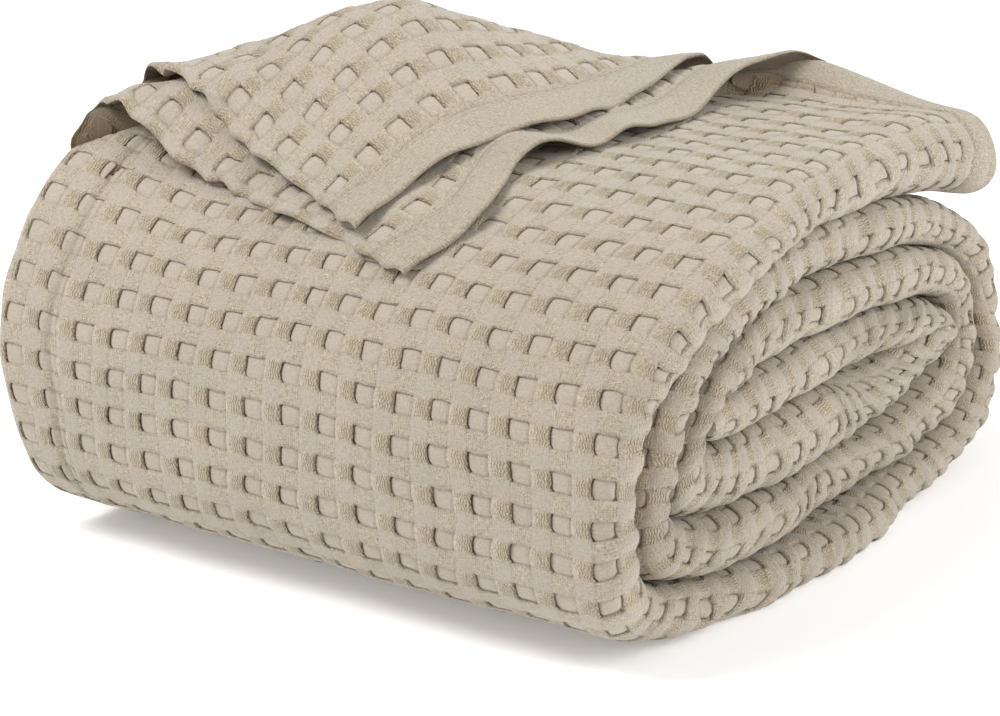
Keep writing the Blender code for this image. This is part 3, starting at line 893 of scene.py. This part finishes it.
# %% Turned layer's surface
ROOT_DEPTH = 0.0040  # how deep the foot is sunk into the strip
ROOT_LEAN = 0.369  # how far the left end's foot is turned from the crest's right angle
CLOTH_THICKNESS = 0.0026
CLEARANCE = 1.7  # between the middles of the two layers, in thicknesses of cloth
LAID_POINTS = 60  # of each profile, on the part that lies forward
TURN_POINTS = 30  # of each profile, on each half of the turn
FURTHEST = 0.200  # the profiles' reach forward of the crest
TAIL = 0.05  # and on under the strip's skin, past the foot


class TurnedLayer:
    """One layer of cloth turned back over its crest."""

    def __init__(self, sizes, below=None):
        self.sizes = sizes
        self.below = below
        self.start, end = (np.array(point) for point in sizes["crest"])
        self.length = float(np.linalg.norm(end - self.start))
        self.along = (end - self.start) / self.length
        self.forward = np.array([self.along[1], -self.along[0]])
        self.corner = np.array(sizes["corner"])
        self.end_hem = float(np.linalg.norm(end - self.corner)) / REPEAT
        self.side_hem = float(np.linalg.norm(self.start - self.corner)) / REPEAT
        self.per_a = (end - self.corner) / self.end_hem
        self.per_b = (self.start - self.corner) / self.side_hem
        self.table = self.surface()

    def sized(self, name, share):
        """One of the sizes' tables, at shares of the crest's length."""
        return smooth_rows(self.sizes[name], share)[0]

    def height(self, share, forward):
        """Height above the strip of the part that lies on top."""
        x = self.start[0] + self.along[0] * self.length * share + self.forward[0] * forward
        along = self.start[1] + self.along[1] * self.length * share + self.forward[1] * forward
        swollen = swell(x, along)
        rest = self.sizes["rest"] + swollen
        crest, length, turn = (self.sized(name, share) for name in ("heights", "lengths", "turn"))
        middle = (crest + swollen) / 2
        part = 1 - np.clip(forward / turn, 0, 1)
        rising = middle + (crest - middle) * np.sqrt(np.maximum(1 - part * part, 0))
        falling = crest + (rest - crest) * smooth_step((forward - turn) / length)
        height = np.maximum(np.where(forward < turn, rising, falling), rest)
        if self.below:
            height = self.cleared(height, x, along, forward > turn * 0.5)
        return height

    def cleared(self, height, x, along, covering):
        """The height, raised where the layer below is in the way."""
        below = self.below
        x, along = x - below.start[0], along - below.start[1]
        share = (x * below.along[0] + along * below.along[1]) / below.length
        forward = x * below.forward[0] + along * below.forward[1]
        share = np.maximum(share, 0)
        # Clear of it also a little further on, because it turns down steeply behind its crest
        clear = np.maximum(
            below.height(share, np.maximum(forward, 0)),
            below.height(share, forward + 2 * CLOTH_THICKNESS),
        )
        covers = covering & (forward > -2 * CLOTH_THICKNESS) & (share < 1)
        return np.where(covers, np.maximum(height, clear + CLOTH_THICKNESS * CLEARANCE), height)

    def profile(self, share):
        """Points across the crest at one share of its length, and their reaches in cloth."""
        top, turn = float(self.sized("heights", share)), float(self.sized("turn", share))
        crest = self.start + self.along * self.length * share
        lean = self.forward - self.along * ROOT_LEAN * max(1 - max(share, 0), 0) ** 2
        # The part that lies forward, from far to near, and the upper half of the turn
        forward = np.concatenate([
            np.linspace(FURTHEST, turn, LAID_POINTS, endpoint=False),
            turn * (1 - np.cos(np.linspace(math.pi / 2, 0, TURN_POINTS))),
        ])
        place = crest + self.forward * forward[:, None]
        heights = self.height(np.full_like(forward, share), forward)
        laid = on_strip(place[:, 0], place[:, 1], heights)
        # The lower half of the turn, down to the foot
        angle = np.linspace(math.pi / 2, 0, TURN_POINTS)[1:]
        place = crest + lean * (turn * np.cos(angle))[:, None]
        swollen = swell(place[:, 0], place[:, 1])
        middle = (top + swollen) / 2
        heights = swollen - ROOT_DEPTH + (middle - swollen + ROOT_DEPTH) * np.sin(angle)
        foot = on_strip(place[:, 0], place[:, 1], heights)
        beyond = np.linspace(0, TAIL, 12)[1:]
        place = crest + lean * (turn + beyond)[:, None]
        tail = on_strip(place[:, 0], place[:, 1], swell(place[:, 0], place[:, 1]) - ROOT_DEPTH)
        line = np.concatenate([laid, foot, tail])
        steps = np.concatenate([[0], np.cumsum(np.linalg.norm(np.diff(line, axis=0), axis=1))])
        reach = turn - (steps - steps[LAID_POINTS])
        reach[:LAID_POINTS] = forward[:LAID_POINTS]
        return line, reach

    def surface(self):
        """Steps of share and of reach in cloth, and the layer's points at them."""
        shares = np.linspace(-0.30, 1.30, 161)
        reaches = np.linspace(-0.065, FURTHEST, 266)
        table = np.zeros((len(shares), len(reaches), 3))
        for i, share in enumerate(shares):
            line, reach = self.profile(share)
            for k in range(3):
                table[i, :, k] = np.interp(reaches, reach[::-1], line[::-1, k])
        return shares, reaches, table

    def points(self, a, b):
        """Points of the layer's middle at places given in repeats from its corner."""
        bow = smooth_rows(self.sizes["bow"], a / self.end_hem)[0] / REPEAT * bell(b, 4.0)
        b = b - bow
        flat = self.corner + a[..., None] * self.per_a + b[..., None] * self.per_b - self.start
        share = flat @ self.along / self.length
        reach = flat @ self.forward
        shares, reaches, table = self.table
        i = np.clip((share - shares[0]) / (shares[1] - shares[0]), 0, len(shares) - 1.001)
        k = np.clip((reach - reaches[0]) / (reaches[1] - reaches[0]), 0, len(reaches) - 1.001)
        low_i, low_k = i.astype(int), k.astype(int)
        part_i, part_k = (i - low_i)[..., None], (k - low_k)[..., None]
        near = table[low_i, low_k] * (1 - part_k) + table[low_i, low_k + 1] * part_k
        far = table[low_i + 1, low_k] * (1 - part_k) + table[low_i + 1, low_k + 1] * part_k
        return near * (1 - part_i) + far * part_i, share, reach


# %% [markdown]
# The cloth of a turned layer is a grid in repeats from the corner. Its end hem is plain and
# stitched, and both hems curl and wave, since nothing holds them down.

# %% Turned layer's cloth
HEM = 1.08  # width of the end hem in repeats
FIRST_ROW = 1.28  # where the first row of pockets starts, in repeats from the end
FIRST_COLUMN = 0.32  # where the first column starts, in repeats from the side
HEM_STITCHES = ((-0.10, 0.35), (0.02, 0.7), (0.14, 0.4))  # rows past the hem, strength
BORDER = 0.9  # repeats over which the hems curl


def layer_grid(layer):
    """The grid's lines from the corner, along the end hem and along the side hem."""
    columns = lines(0.0, layer.end_hem + 2.5, COLUMN_LINES)[1:]
    rows = lines(0.03, layer.side_hem + 1.72, ROW_LINES)
    a = np.concatenate([[0, 0.03, 0.08, 0.16, 0.24], FIRST_COLUMN + columns])
    seam_lines = np.linspace(HEM - 0.14, HEM + 0.18, 9)
    b = np.concatenate([[0, 0.03, 0.08, 0.16, 0.3, 0.5, 0.68, 0.84], seam_lines, FIRST_ROW + rows])
    return a, b


def layer_lift(layer, a, b):
    """How far the cloth stands off its smooth surface, in metres."""
    lift = bell(a, BORDER) * (0.0012 * np.sin(5.2 * b + np.sin(1.3 * b)) + 0.0008 * np.sin(2.1 * b))
    lift += bell(b, BORDER) * 0.0007 * np.sin(2.9 * a + 1.5 * np.sin(0.8 * a))
    lift += 0.0009 * roll_noise(a * 1.2, b * 1.2)
    lift += 0.0008 * fold_noise(a, 1.1 * b) * smooth_step((b - HEM) / 1.5)
    for place, height, width, depth in layer.sizes["waves"]:
        lift += height * np.exp(-(((a - place) / width) ** 2) - (b / depth) ** 2)
    return lift


def hem_stitches(b):
    """The end hem's rows of stitching, from 0 to 1."""
    return sum(deep * bell(b - HEM - place, 0.035) for place, deep in HEM_STITCHES)


# %% [markdown]
# A turned layer shows both its faces, so it is a closed body as thick as the cloth. Solidify would
# give it an even thickness. Here the two faces are made apart, so that the pockets are sunk from
# both sides and the rim is round.

# %% Turned layer's body
HALF_THICKNESS = 0.0011
ROUND_RIM = 0.0016  # the rim is rounded over this width
LAYER_PUFF = 0.6
LAYER_TRIM = -0.1705  # nothing of the layers reaches past the strip's left side


def corners(mask):
    """A grid's mask at the four corners of every quad."""
    return mask[:-1, :-1], mask[1:, :-1], mask[:-1, 1:], mask[1:, 1:]


def closed_body(quads, count):
    """Quads of the upper face, the same below, and a rim round every open edge."""
    edges = np.concatenate([quads[:, [k, (k + 1) % 4]] for k in range(4)])
    keys = np.sort(edges, axis=1)
    keys = keys[:, 0] * count + keys[:, 1]
    _, first, uses = np.unique(keys, return_index=True, return_counts=True)
    border = edges[first[uses == 1]]
    walls = np.stack([border[:, 1], border[:, 0], border[:, 0] + count, border[:, 1] + count], 1)
    return np.concatenate([quads, quads[:, ::-1] + count, walls])


def layer_faces(layer, a, b, middle, strength):
    """Points of a layer's upper and lower face."""
    grid_a, grid_b = np.meshgrid(a, b, indexing="ij")
    u, w = grid_a - FIRST_COLUMN, grid_b - FIRST_ROW
    normals, down, across = grid_normals(middle)
    height, shift_u, shift_w = weave(u, w, strength, LAYER_PUFF)
    double = 0.0003 * (1 - smooth_step((grid_b - HEM + 0.05) / 0.1))
    height = height + 0.0005 * roll_noise(u, w) * strength - 0.0009 * hem_stitches(grid_b) + double
    edge = np.minimum(grid_a, grid_b) * REPEAT
    rim = np.sqrt(np.maximum(1 - np.maximum(1 - edge / ROUND_RIM, 0) ** 2, 0.0))
    half = (HALF_THICKNESS - 0.0003 * (1 - strength)) * (rim * 0.94 + 0.06)
    middle = middle + normals * layer_lift(layer, grid_a, grid_b)[..., None]
    wander = bell(grid_a, BORDER) * 0.05 * np.sin(6.1 * grid_b + 2 * np.sin(1.1 * grid_b))
    shift_u = shift_u * strength + wander
    middle = middle + down / np.gradient(a)[:, None, None] * shift_u[..., None]
    middle = middle + across / np.gradient(b)[None, :, None] * (shift_w * strength)[..., None]
    upper = middle + normals * (half + height * rim)[..., None]
    lower = middle - normals * (half - 0.4 * height * rim + double)[..., None]
    # Both faces stop at the strip's left side and at its end
    end_y = STRIP_END[-1][0] - skew(middle[..., 0])
    within = (middle[..., 0] > LAYER_TRIM) & (middle[..., 1] < end_y)
    for face in (upper, lower):
        face[..., 0] = np.maximum(face[..., 0], LAYER_TRIM)
        face[..., 1] = np.minimum(face[..., 1], end_y)
    return upper, lower, within


# %% [markdown]
# What is left of a layer is its shading. Its stitching is a little darker cloth, and its rims are darker
# cloth with painted shade beneath them. The hollow under the crest, which little light reaches, gets
# painted shade too. A layer's flat size is measured on the grid, before the cloth is turned back.

# %% Turned layer's piece
HOLLOW_SHADE = 1.6
LAYER_FACING = -0.4
FOOT_REACH = -0.052  # a layer's cloth is cut off here, inside the strip
LAST_SHARE = 1.28  # and here, past the crest's right end


def layer_shade(layer, a, b, share, reach):
    """How much darker each face is coloured: stitching, rims and painted shade, from 0 to 1 or so."""
    edge = np.minimum(a, b) * REPEAT
    seam = hem_stitches(b)
    lifted = layer.sized("heights", np.clip(share, 0, 1)) / 2
    # Painted shade in the hollow under the crest
    hollow = HOLLOW_SHADE * smooth_step((0.018 - reach) / 0.016) * smooth_step((lifted - 0.003) / 0.008)
    above = 0.35 * seam + 0.6 * bell(edge, 0.0007)
    # Under the rim, painted shade along with the darker edge
    below = 0.5 * seam + 1.3 * bell(edge, 0.0016) + hollow
    return above, below


def layer_piece(layer, name, material):
    """A turned layer as a mesh, and its flat width, length and area."""
    a, b = layer_grid(layer)
    grid_a, grid_b = np.meshgrid(a, b, indexing="ij")
    middle, share, reach = layer.points(grid_a, grid_b)
    strength = smooth_step((grid_b - HEM) / 0.22)
    upper, lower, within = layer_faces(layer, a, b, middle, strength)
    keep = (reach > FOOT_REACH) & (share < LAST_SHARE)
    keep = np.all(corners(keep), axis=0) & np.any(corners(within), axis=0)
    faces = closed_body(grid_quads(*grid_a.shape, mask=keep), grid_a.size)
    used, faces = np.unique(faces, return_inverse=True)
    points = np.concatenate([upper.reshape(-1, 3), lower.reshape(-1, 3)])[used]
    # Half a turn of the pattern puts the creases' painted shade on the sides away from the corner
    turned = (POCKET_WIDTH - (grid_a - FIRST_COLUMN), POCKET_HEIGHT - (grid_b - FIRST_ROW))
    uv = np.tile(np.stack(turned, -1).reshape(-1, 2), (2, 1))[used]
    woven = np.tile(strength.ravel(), 2)[used]
    dark = np.concatenate([k.ravel() for k in layer_shade(layer, grid_a, grid_b, share, reach)])[used]
    cells = (np.diff(a)[:, None] * np.diff(b)[None, :])[keep] * REPEAT**2
    kept_a, kept_b = grid_a[:-1, :-1][keep], grid_b[:-1, :-1][keep]
    flat = (float(np.ptp(kept_a)) * REPEAT, float(np.ptp(kept_b)) * REPEAT, float(cells.sum()))
    faces = faces.reshape(-1, 4)
    return make_mesh(name, points, faces, uv, material, woven, dark, LAYER_FACING), flat


# %% [markdown]
# The cloth's finish is one node tree. Its nodes could be placed and linked by hand in the shader
# editor, but a pattern like this one takes more than two hundred. So a small class wraps a socket
# and takes over the operators: an expression adds its own Math nodes, and the pattern reads as plain
# arithmetic.


# %% Shader arithmetic
class Tree:
    """Adds nodes to a material."""

    def __init__(self, material):
        material.use_nodes = True
        self.tree = material.node_tree
        self.surface = self.tree.nodes["Principled BSDF"]

    def add(self, kind, settings, sockets, output=0):
        node = self.tree.nodes.new(kind)
        for name, value in settings.items():
            setattr(node, name, value)
        for name, value in sockets.items():
            self.connect(value, node.inputs[name])
        return Socket(self, node.outputs[output])

    def connect(self, value, target):
        if isinstance(value, Socket):
            self.tree.links.new(value.socket, target)
        else:
            target.default_value = value

    def maths(self, operation, *values, clamp=False):
        settings = {"operation": operation, "use_clamp": clamp}
        return self.add("ShaderNodeMath", settings, dict(enumerate(values)))

    def colours(self, factor, one, other, blend="MIX"):
        settings = {"data_type": "RGBA", "blend_type": blend}
        return self.add("ShaderNodeMix", settings, {0: factor, 6: one, 7: other}, 2)

    def attribute(self, name):
        return self.add("ShaderNodeAttribute", {"attribute_name": name}, {}, 2)


class Socket:
    """An output socket that can be used in sums."""

    def __init__(self, tree, socket):
        self.tree = tree
        self.socket = socket

    def __add__(self, other):
        return self.tree.maths("ADD", self, other)

    __radd__ = __add__

    def __mul__(self, other):
        return self.tree.maths("MULTIPLY", self, other)

    __rmul__ = __mul__

    def __sub__(self, other):
        return self.tree.maths("SUBTRACT", self, other)

    def __rsub__(self, other):
        return self.tree.maths("SUBTRACT", other, self)

    def below(self, other):
        return self.tree.maths("LESS_THAN", self, other)

    def size(self):
        return self.tree.maths("ABSOLUTE", self)

    def fraction(self):
        return self.tree.maths("FRACT", self)

    def sine(self):
        return self.tree.maths("SINE", self)

    def clamped(self):
        return self.tree.maths("ADD", self, 0.0, clamp=True)


# %% [markdown]
# The real cotton is a greyish beige. A single flat colour would look like plastic, so each part of the
# weave has its own: the loose threads are warmer, because light shines through them, and the pockets and
# the plain squares are greyer. The painted shade of creases and hollows is brown, and so is the darker
# stitching.

# %% Cotton's colours
CLOTH_COLOUR = (0.450, 0.388, 0.297, 1.0)
POCKET_COLOUR = (0.438, 0.382, 0.308, 1.0)
THREAD_COLOUR = (0.510, 0.430, 0.305, 1.0)
PLAIN_COLOUR = (0.428, 0.376, 0.306, 1.0)
# Brown for painted shade and for stitching
SHADE_AND_STITCH_COLOUR = (0.105, 0.060, 0.018, 1.0)
print("cloth colour", CLOTH_COLOUR[:3])

# %% [markdown]
# The material reads the UV map in repeats, so it knows for each point how far it is across and along
# its repeat, and with that whether it is in a pocket, a bundle of loose thread, flat cloth or a plain
# square. Noises fray the borders between them, and give the fibre and the crepe of spun cotton.

# %% Cotton's parts
cloth = bpy.data.materials.new("cotton_waffle")
tree = Tree(cloth)
repeats = tree.add("ShaderNodeUVMap", {"uv_map": "repeats"}, {})
u = tree.add("ShaderNodeSeparateXYZ", {}, {0: repeats})
w = Socket(tree, u.socket.node.outputs[1])
# The second attribute is darker stitching together with painted shade.
woven, stitching_and_shade, facing = (tree.attribute(name) for name in ("woven", "stitching_and_shade", "facing"))


def noise(scale, detail, stretch=(1, 1, 1)):
    vector = tree.add("ShaderNodeVectorMath", {"operation": "MULTIPLY"}, {0: repeats, 1: stretch})
    return tree.add("ShaderNodeTexNoise", {}, {"Vector": vector, "Scale": scale, "Detail": detail})


wobble = noise(3.0, 2.0) - 0.5
fibre = noise(21.0, 3.0) - 0.5
crepe_up = noise(26.0, 1.0, (1.0, 0.28, 1)) - 0.5
crepe_across = noise(26.0, 1.0, (0.28, 1.0, 1)) - 0.5
grain = noise(9.0, 2.0) - 0.5
a, b = u.fraction(), w.fraction()
pocket_column = a.below(POCKET_WIDTH)
pocket_row = b.below(POCKET_HEIGHT)
fray = (noise(14.0, 2.0) - 0.5) * 1.6
in_threads = ((POCKET_HEIGHT / 2 - (b - POCKET_HEIGHT / 2).size()) * 11.0 + fray + 0.1).clamped()
threads = ((a - POCKET_WIDTH - 0.04) * 6.0 + fray * 0.5).clamped() * in_threads * woven
pocket = pocket_column * pocket_row * woven
plain = (1 - pocket_column) * (1 - pocket_row) * woven
flat = pocket_column * (1 - pocket_row) * woven
print("nodes so far", len(cloth.node_tree.nodes))

# %% [markdown]
# Creases run along a pocket's four sides, uneven in width and strength. The mesh is too coarse for such
# fine crevices, so the shader paints their shade and sinks them a little with its relief. Where the
# strip lies flat the painted shade shows most on the side away from the front.

# %% Cotton's creases
jitter = (noise(9.0, 2.0) - 0.5) * 0.050
across = (a + jitter + 0.5).fraction() - 0.506
beyond = a + jitter - POCKET_WIDTH
along = (b + jitter + 0.5).fraction() - 0.505
under = b + jitter - POCKET_HEIGHT
uneven = (noise(2.2, 1.0) * 3.2 - 0.75).clamped()
in_row = (b - POCKET_HEIGHT / 2).size().below(POCKET_HEIGHT / 2 - 0.015)
in_column = (a - POCKET_WIDTH / 2).size().below(POCKET_WIDTH / 2 - 0.005)
# The creases' painted shade, weighted by which way the rows face
left = (1.20 - across.size() * 46.0).clamped() * (1 - facing.size() * 0.40)
right = (1.0 - beyond.size() * 52.0).clamped() * (0.40 - facing.size() * 0.20)
side_crease = tree.maths("MAXIMUM", left, right) * in_row * (uneven * 0.8 + 0.2) * woven
top = (1.0 - along.size() * 56.0).clamped() * (0.70 - facing * 0.40)
foot = (1.0 - under.size() * 56.0).clamped() * (0.50 + facing * 0.60)
level_crease = tree.maths("MAXIMUM", top, foot) * in_column * (uneven * 0.6 + 0.3) * woven
print("nodes with creases", len(cloth.node_tree.nodes))

# %% [markdown]
# Threads are far finer than the mesh, so they are relief in the shader: a height in metres that a
# Bump node turns into small tilts of the surface. Loose threads show as ribs, and the flat parts as
# crossing warp and weft.

# %% Cotton's threads
RIB_PHASE = 98.0  # radians for one repeat: some 16 ribs
THREAD_PHASE = 120.0  # some 19 threads
RIB_RELIEF = 0.00072
FIBRE_RELIEF = 0.00080
CREPE_RELIEF = 0.0007

crimp = (w * 34.0 + wobble * 8.0).sine() * 1.3
rib = (u * RIB_PHASE + wobble * 11.0 + crimp).sine() * 0.5 + 0.5
weft = (w * THREAD_PHASE + wobble * 9.0).sine() * 0.5 + 0.5
warp = (u * THREAD_PHASE + wobble * 6.0).sine() * 0.5 + 0.5
height = threads * rib * RIB_RELIEF
height = height + flat * (warp * 0.00014 + weft * 0.00012)
height = height + plain * (warp * 0.00005 + weft * 0.00006)
height = height + (1 - woven) * (warp * 0.00020)
rough = 1 - pocket * 0.55 - plain * 0.40
height = height + fibre * (rough * FIBRE_RELIEF + threads * 0.0005) + grain * 0.0003
height = height + (crepe_up + crepe_across) * rough * CREPE_RELIEF
height = height - side_crease * 0.0004 - level_crease * 0.0003 - stitching_and_shade * 0.0003
bump = tree.add("ShaderNodeBump", {}, {"Height": height, "Distance": 1.0, "Strength": 0.9})
print("nodes with relief", len(cloth.node_tree.nodes))

# %% [markdown]
# The colours are mixed by the same parts. Painted shade in the gaps between the ribs, the creases and
# the hollows goes towards brown, and so does the darker stitching, and a slow patchiness, the fibre and
# the crepe make it lighter and darker by a few percent. What is the same all over, such as the roughness
# and the sheen of short fibres, is set on the shader itself.

# %% Cotton's colour and finish
patch = noise(0.35, 3.0)
colour = tree.colours(plain, CLOTH_COLOUR, PLAIN_COLOUR)
colour = tree.colours(pocket, colour, POCKET_COLOUR)
colour = tree.colours(threads, colour, THREAD_COLOUR)
# Painted shade in the gaps between the ribs, weaker where the rows run towards the front
gap = threads * (1 - rib) * (1 - rib) * (0.34 + fibre * 1.3) * (1 - facing.size() * 0.45)
gap = gap * ((a - POCKET_WIDTH) * 2.6 + 0.30)
# A soft band of brown painted shade beside the creases
soft_crease_shade = (1.0 - across.size() * 13.0).clamped() + (1.0 - beyond.size() * 18.0).clamped() * 0.6
soft_crease_shade = soft_crease_shade * in_row * 0.10
# Painted shade of creases, rib gaps and hollows, together with the darker stitching
shade_and_stitching = side_crease * 0.95 + level_crease * 0.58 + gap + soft_crease_shade * woven + stitching_and_shade * 0.45
colour = tree.colours(shade_and_stitching.clamped(), colour, SHADE_AND_STITCH_COLOUR)
coarse_weave = 1 - pocket * 0.60 - plain * 0.45
selvage = (1.0 - across.size() * 30.0).clamped() + (1.0 - beyond.size() * 30.0).clamped()
selvage = selvage * (1 - pocket_row)
shade = (patch - 0.5) * 0.16 + fibre * (0.26 + coarse_weave * 0.50) + grain * 0.08 + 1.0
shade = shade + (crepe_up + crepe_across) * coarse_weave * 0.62 - selvage * woven * uneven * 0.08
shade = shade + flat * (weft + warp - 1.0) * 0.07 + (1 - woven) * (warp * 0.08 - 0.07)
tint = tree.add("ShaderNodeCombineColor", {}, {0: shade, 1: shade, 2: shade})
colour = tree.colours(1.0, colour, tint, "MULTIPLY")
finish = {
    "Base Color": colour,
    "Normal": bump,
    "Roughness": 0.93,
    "Sheen Weight": 0.35,
    "Sheen Roughness": 0.5,
    "Specular IOR Level": 0.15,
}
for name, value in finish.items():
    tree.connect(value, tree.surface.inputs[name])
print("material nodes", len(cloth.node_tree.nodes))

# %% [markdown]
# The strip's skin is laid in four stretches, because one mesh of it would be too heavy: the end on
# top with the front, the underside, the back, and the inner turns. Of the inner turns only the folds
# show, so their fine columns start near the right side.

# %% Lay the strip
HEM_ROWS = 0.034  # length over which the first rows are evenly spaced
HALF_UNDERSIDE = 0.085
BACK_END = 0.02  # the back's stretch stops so much before the whole first turn
foot_row = float(row_of_length(FIRST_FOOT - HALF_UNDERSIDE))
rise_row = float(row_of_length(FIRST_FOOT + HALF_UNDERSIDE))
top_row = float(row_of_length(TURN_LENGTH - BACK_END))
hem_rows = row_of_length(np.linspace(0, HEM_ROWS, 24))
front_rows = np.concatenate([hem_rows, lines(row_of_length(0.0345), foot_row, ROW_LINES)])
left_start = (-HALF + EDGE_DEPTH * 0.3 - FIRST_POCKET) / REPEAT
outer_columns = lines(left_start, INNER_FINE, COLUMN_LINES)
inner_columns = np.concatenate([np.linspace(left_start, 14.9, 8), lines(15.0, INNER_FINE, COLUMN_LINES)])
coarse = np.linspace(0, 1, 11)[1:]
front, front_flat = strip_sheet("strip_front", front_rows, outer_columns, coarse, cloth)
rows = lines(foot_row, rise_row, ROW_LINES)
under, under_flat = strip_sheet("strip_underside", rows, outer_columns, coarse, cloth)
rows = lines(rise_row, top_row, ROW_LINES)
back, back_flat = strip_sheet("strip_back", rows, outer_columns, coarse, cloth)
rows = lines(top_row, ROWS[-1], ROW_LINES)
turns, turns_flat = strip_sheet("strip_inner_turns", rows, inner_columns, coarse, cloth)
edges = left_side(cloth)
end = strip_end(cloth)
for piece in (front, under, back, turns, edges, end):
    print(piece.name, len(piece.data.polygons) * 2, "triangles")

# %% [markdown]
# The two turned-back layers go on last. The upper one is given the lower one, so that it stays clear
# of it.

# %% Lay the corner
lower_layer = TurnedLayer(LOWER_LAYER)
upper_layer = TurnedLayer(UPPER_LAYER, lower_layer)
lower, lower_flat = layer_piece(lower_layer, "corner_lower", cloth)
upper, upper_flat = layer_piece(upper_layer, "corner_upper", cloth)
for piece in (lower, upper):
    print(piece.name, len(piece.data.polygons) * 2, "triangles")

# %% [markdown]
# All ride on the one body and are stretches of one blanket. How large each sheet is when it is laid out
# flat is printed. The layers' edges and the end hems are parts of the front's cloth.

# %% Attach the pieces and hide the solid
for piece in (front, under, back, turns, edges, end, lower, upper):
    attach(piece, "root")
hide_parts("blanket")
strip = ((front, front_flat), (under, under_flat), (back, back_flat), (turns, turns_flat))
for piece, flat in strip:
    print(piece.name, "flat", [round(size, 3) for size in flat])
corner = ((lower, lower_flat, front), (upper, upper_flat, lower))
for piece, (width, length, area), beneath in corner:
    print(piece.name, "flat", round(width, 3), round(length, 3), "area", round(area, 4))

# %% [markdown]
# The blanket stands on a plain pale floor. One large square is enough. It glows a little, so that its
# far part and the shadow are as light as on a white table in a studio.

# %% Floor
FLOOR_SIZE = 6
FLOOR_FINISH = {
    "Base Color": (0.955, 0.965, 0.985, 1),
    "Roughness": 0.9,
    "Emission Color": (1, 1, 1, 1),
    "Emission Strength": 0.20,
}
floor_data = bpy.data.meshes.new("floor")
floor_corners = [(x * FLOOR_SIZE, y * FLOOR_SIZE, 0) for x, y in ((-1, -1), (1, -1), (1, 1), (-1, 1))]
floor_data.from_pydata(floor_corners, [], [(0, 1, 2, 3)])
floor = bpy.data.objects.new("floor", floor_data)
bpy.context.scene.collection.objects.link(floor)
floor_material = bpy.data.materials.new("floor")
floor_material.use_nodes = True
floor_inputs = floor_material.node_tree.nodes["Principled BSDF"].inputs
for name, value in FLOOR_FINISH.items():
    floor_inputs[name].default_value = value
floor_data.materials.append(floor_material)
floor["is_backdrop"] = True
print("floor", 2 * FLOOR_SIZE, "m wide")

# %% [markdown]
# Soft light comes from all round, from a strong lamp at the upper left and from a weaker, lower one at
# the right, which lights the folds. Both are a metre wide or more, because small lamps would draw
# hard shadows in every pocket.

# %% Light
world = bpy.data.worlds.new("studio")
bpy.context.scene.world = world
world.use_nodes = True
world.node_tree.nodes["Background"].inputs["Color"].default_value = (1.0, 0.975, 0.935, 1)
world.node_tree.nodes["Background"].inputs["Strength"].default_value = 0.580
LAMPS = (
    # place, aimed at, width, power
    ((-0.9, -0.9, 1.7), (0, 0, 0.1), 1.0, 31.0),
    ((1.35, 0.35, 0.80), (0, 0, 0.1), 1.2, 15.0),
)


def aim(item, place, target):
    item.location = place
    item.rotation_euler = (Vector(target) - Vector(place)).to_track_quat("-Z", "Y").to_euler()


for number, (place, target, width, power) in enumerate(LAMPS):
    lamp_data = bpy.data.lights.new(f"lamp_{number}", "AREA")
    lamp_data.size = width
    lamp_data.energy = power
    lamp_data.color = (0.985, 0.99, 1.0)
    lamp = bpy.data.objects.new(f"lamp_{number}", lamp_data)
    bpy.context.scene.collection.objects.link(lamp)
    aim(lamp, place, target)
print(len(LAMPS), "lamps")

# %% [markdown]
# The camera looks from the front right and a little from above. Its place, aim and lens were solved
# from the rows of pockets and the roll's outline.

# %% Camera
CAMERA_PLACE = (0.6145, -0.9425, 0.4230)
CAMERA_TARGET = (0.1002, -0.1810, 0.1301)
CAMERA_LENS = 88.83

camera_data = bpy.data.cameras.new("camera")
camera_data.lens = CAMERA_LENS
camera_data.sensor_width = 36.0
camera = bpy.data.objects.new("camera", camera_data)
bpy.context.scene.collection.objects.link(camera)
aim(camera, CAMERA_PLACE, CAMERA_TARGET)
bpy.context.scene.camera = camera
bpy.context.scene.view_settings.view_transform = "Standard"
print("camera", round(math.dist(CAMERA_PLACE, CAMERA_TARGET), 2), "m away")

# %% Finish
low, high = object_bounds()
print("dressed", [round(c, 4) for c in low], [round(c, 4) for c in high])
sizes = {"cad": [list(cad_low), list(cad_high)], "visual": [list(low), list(high)]}
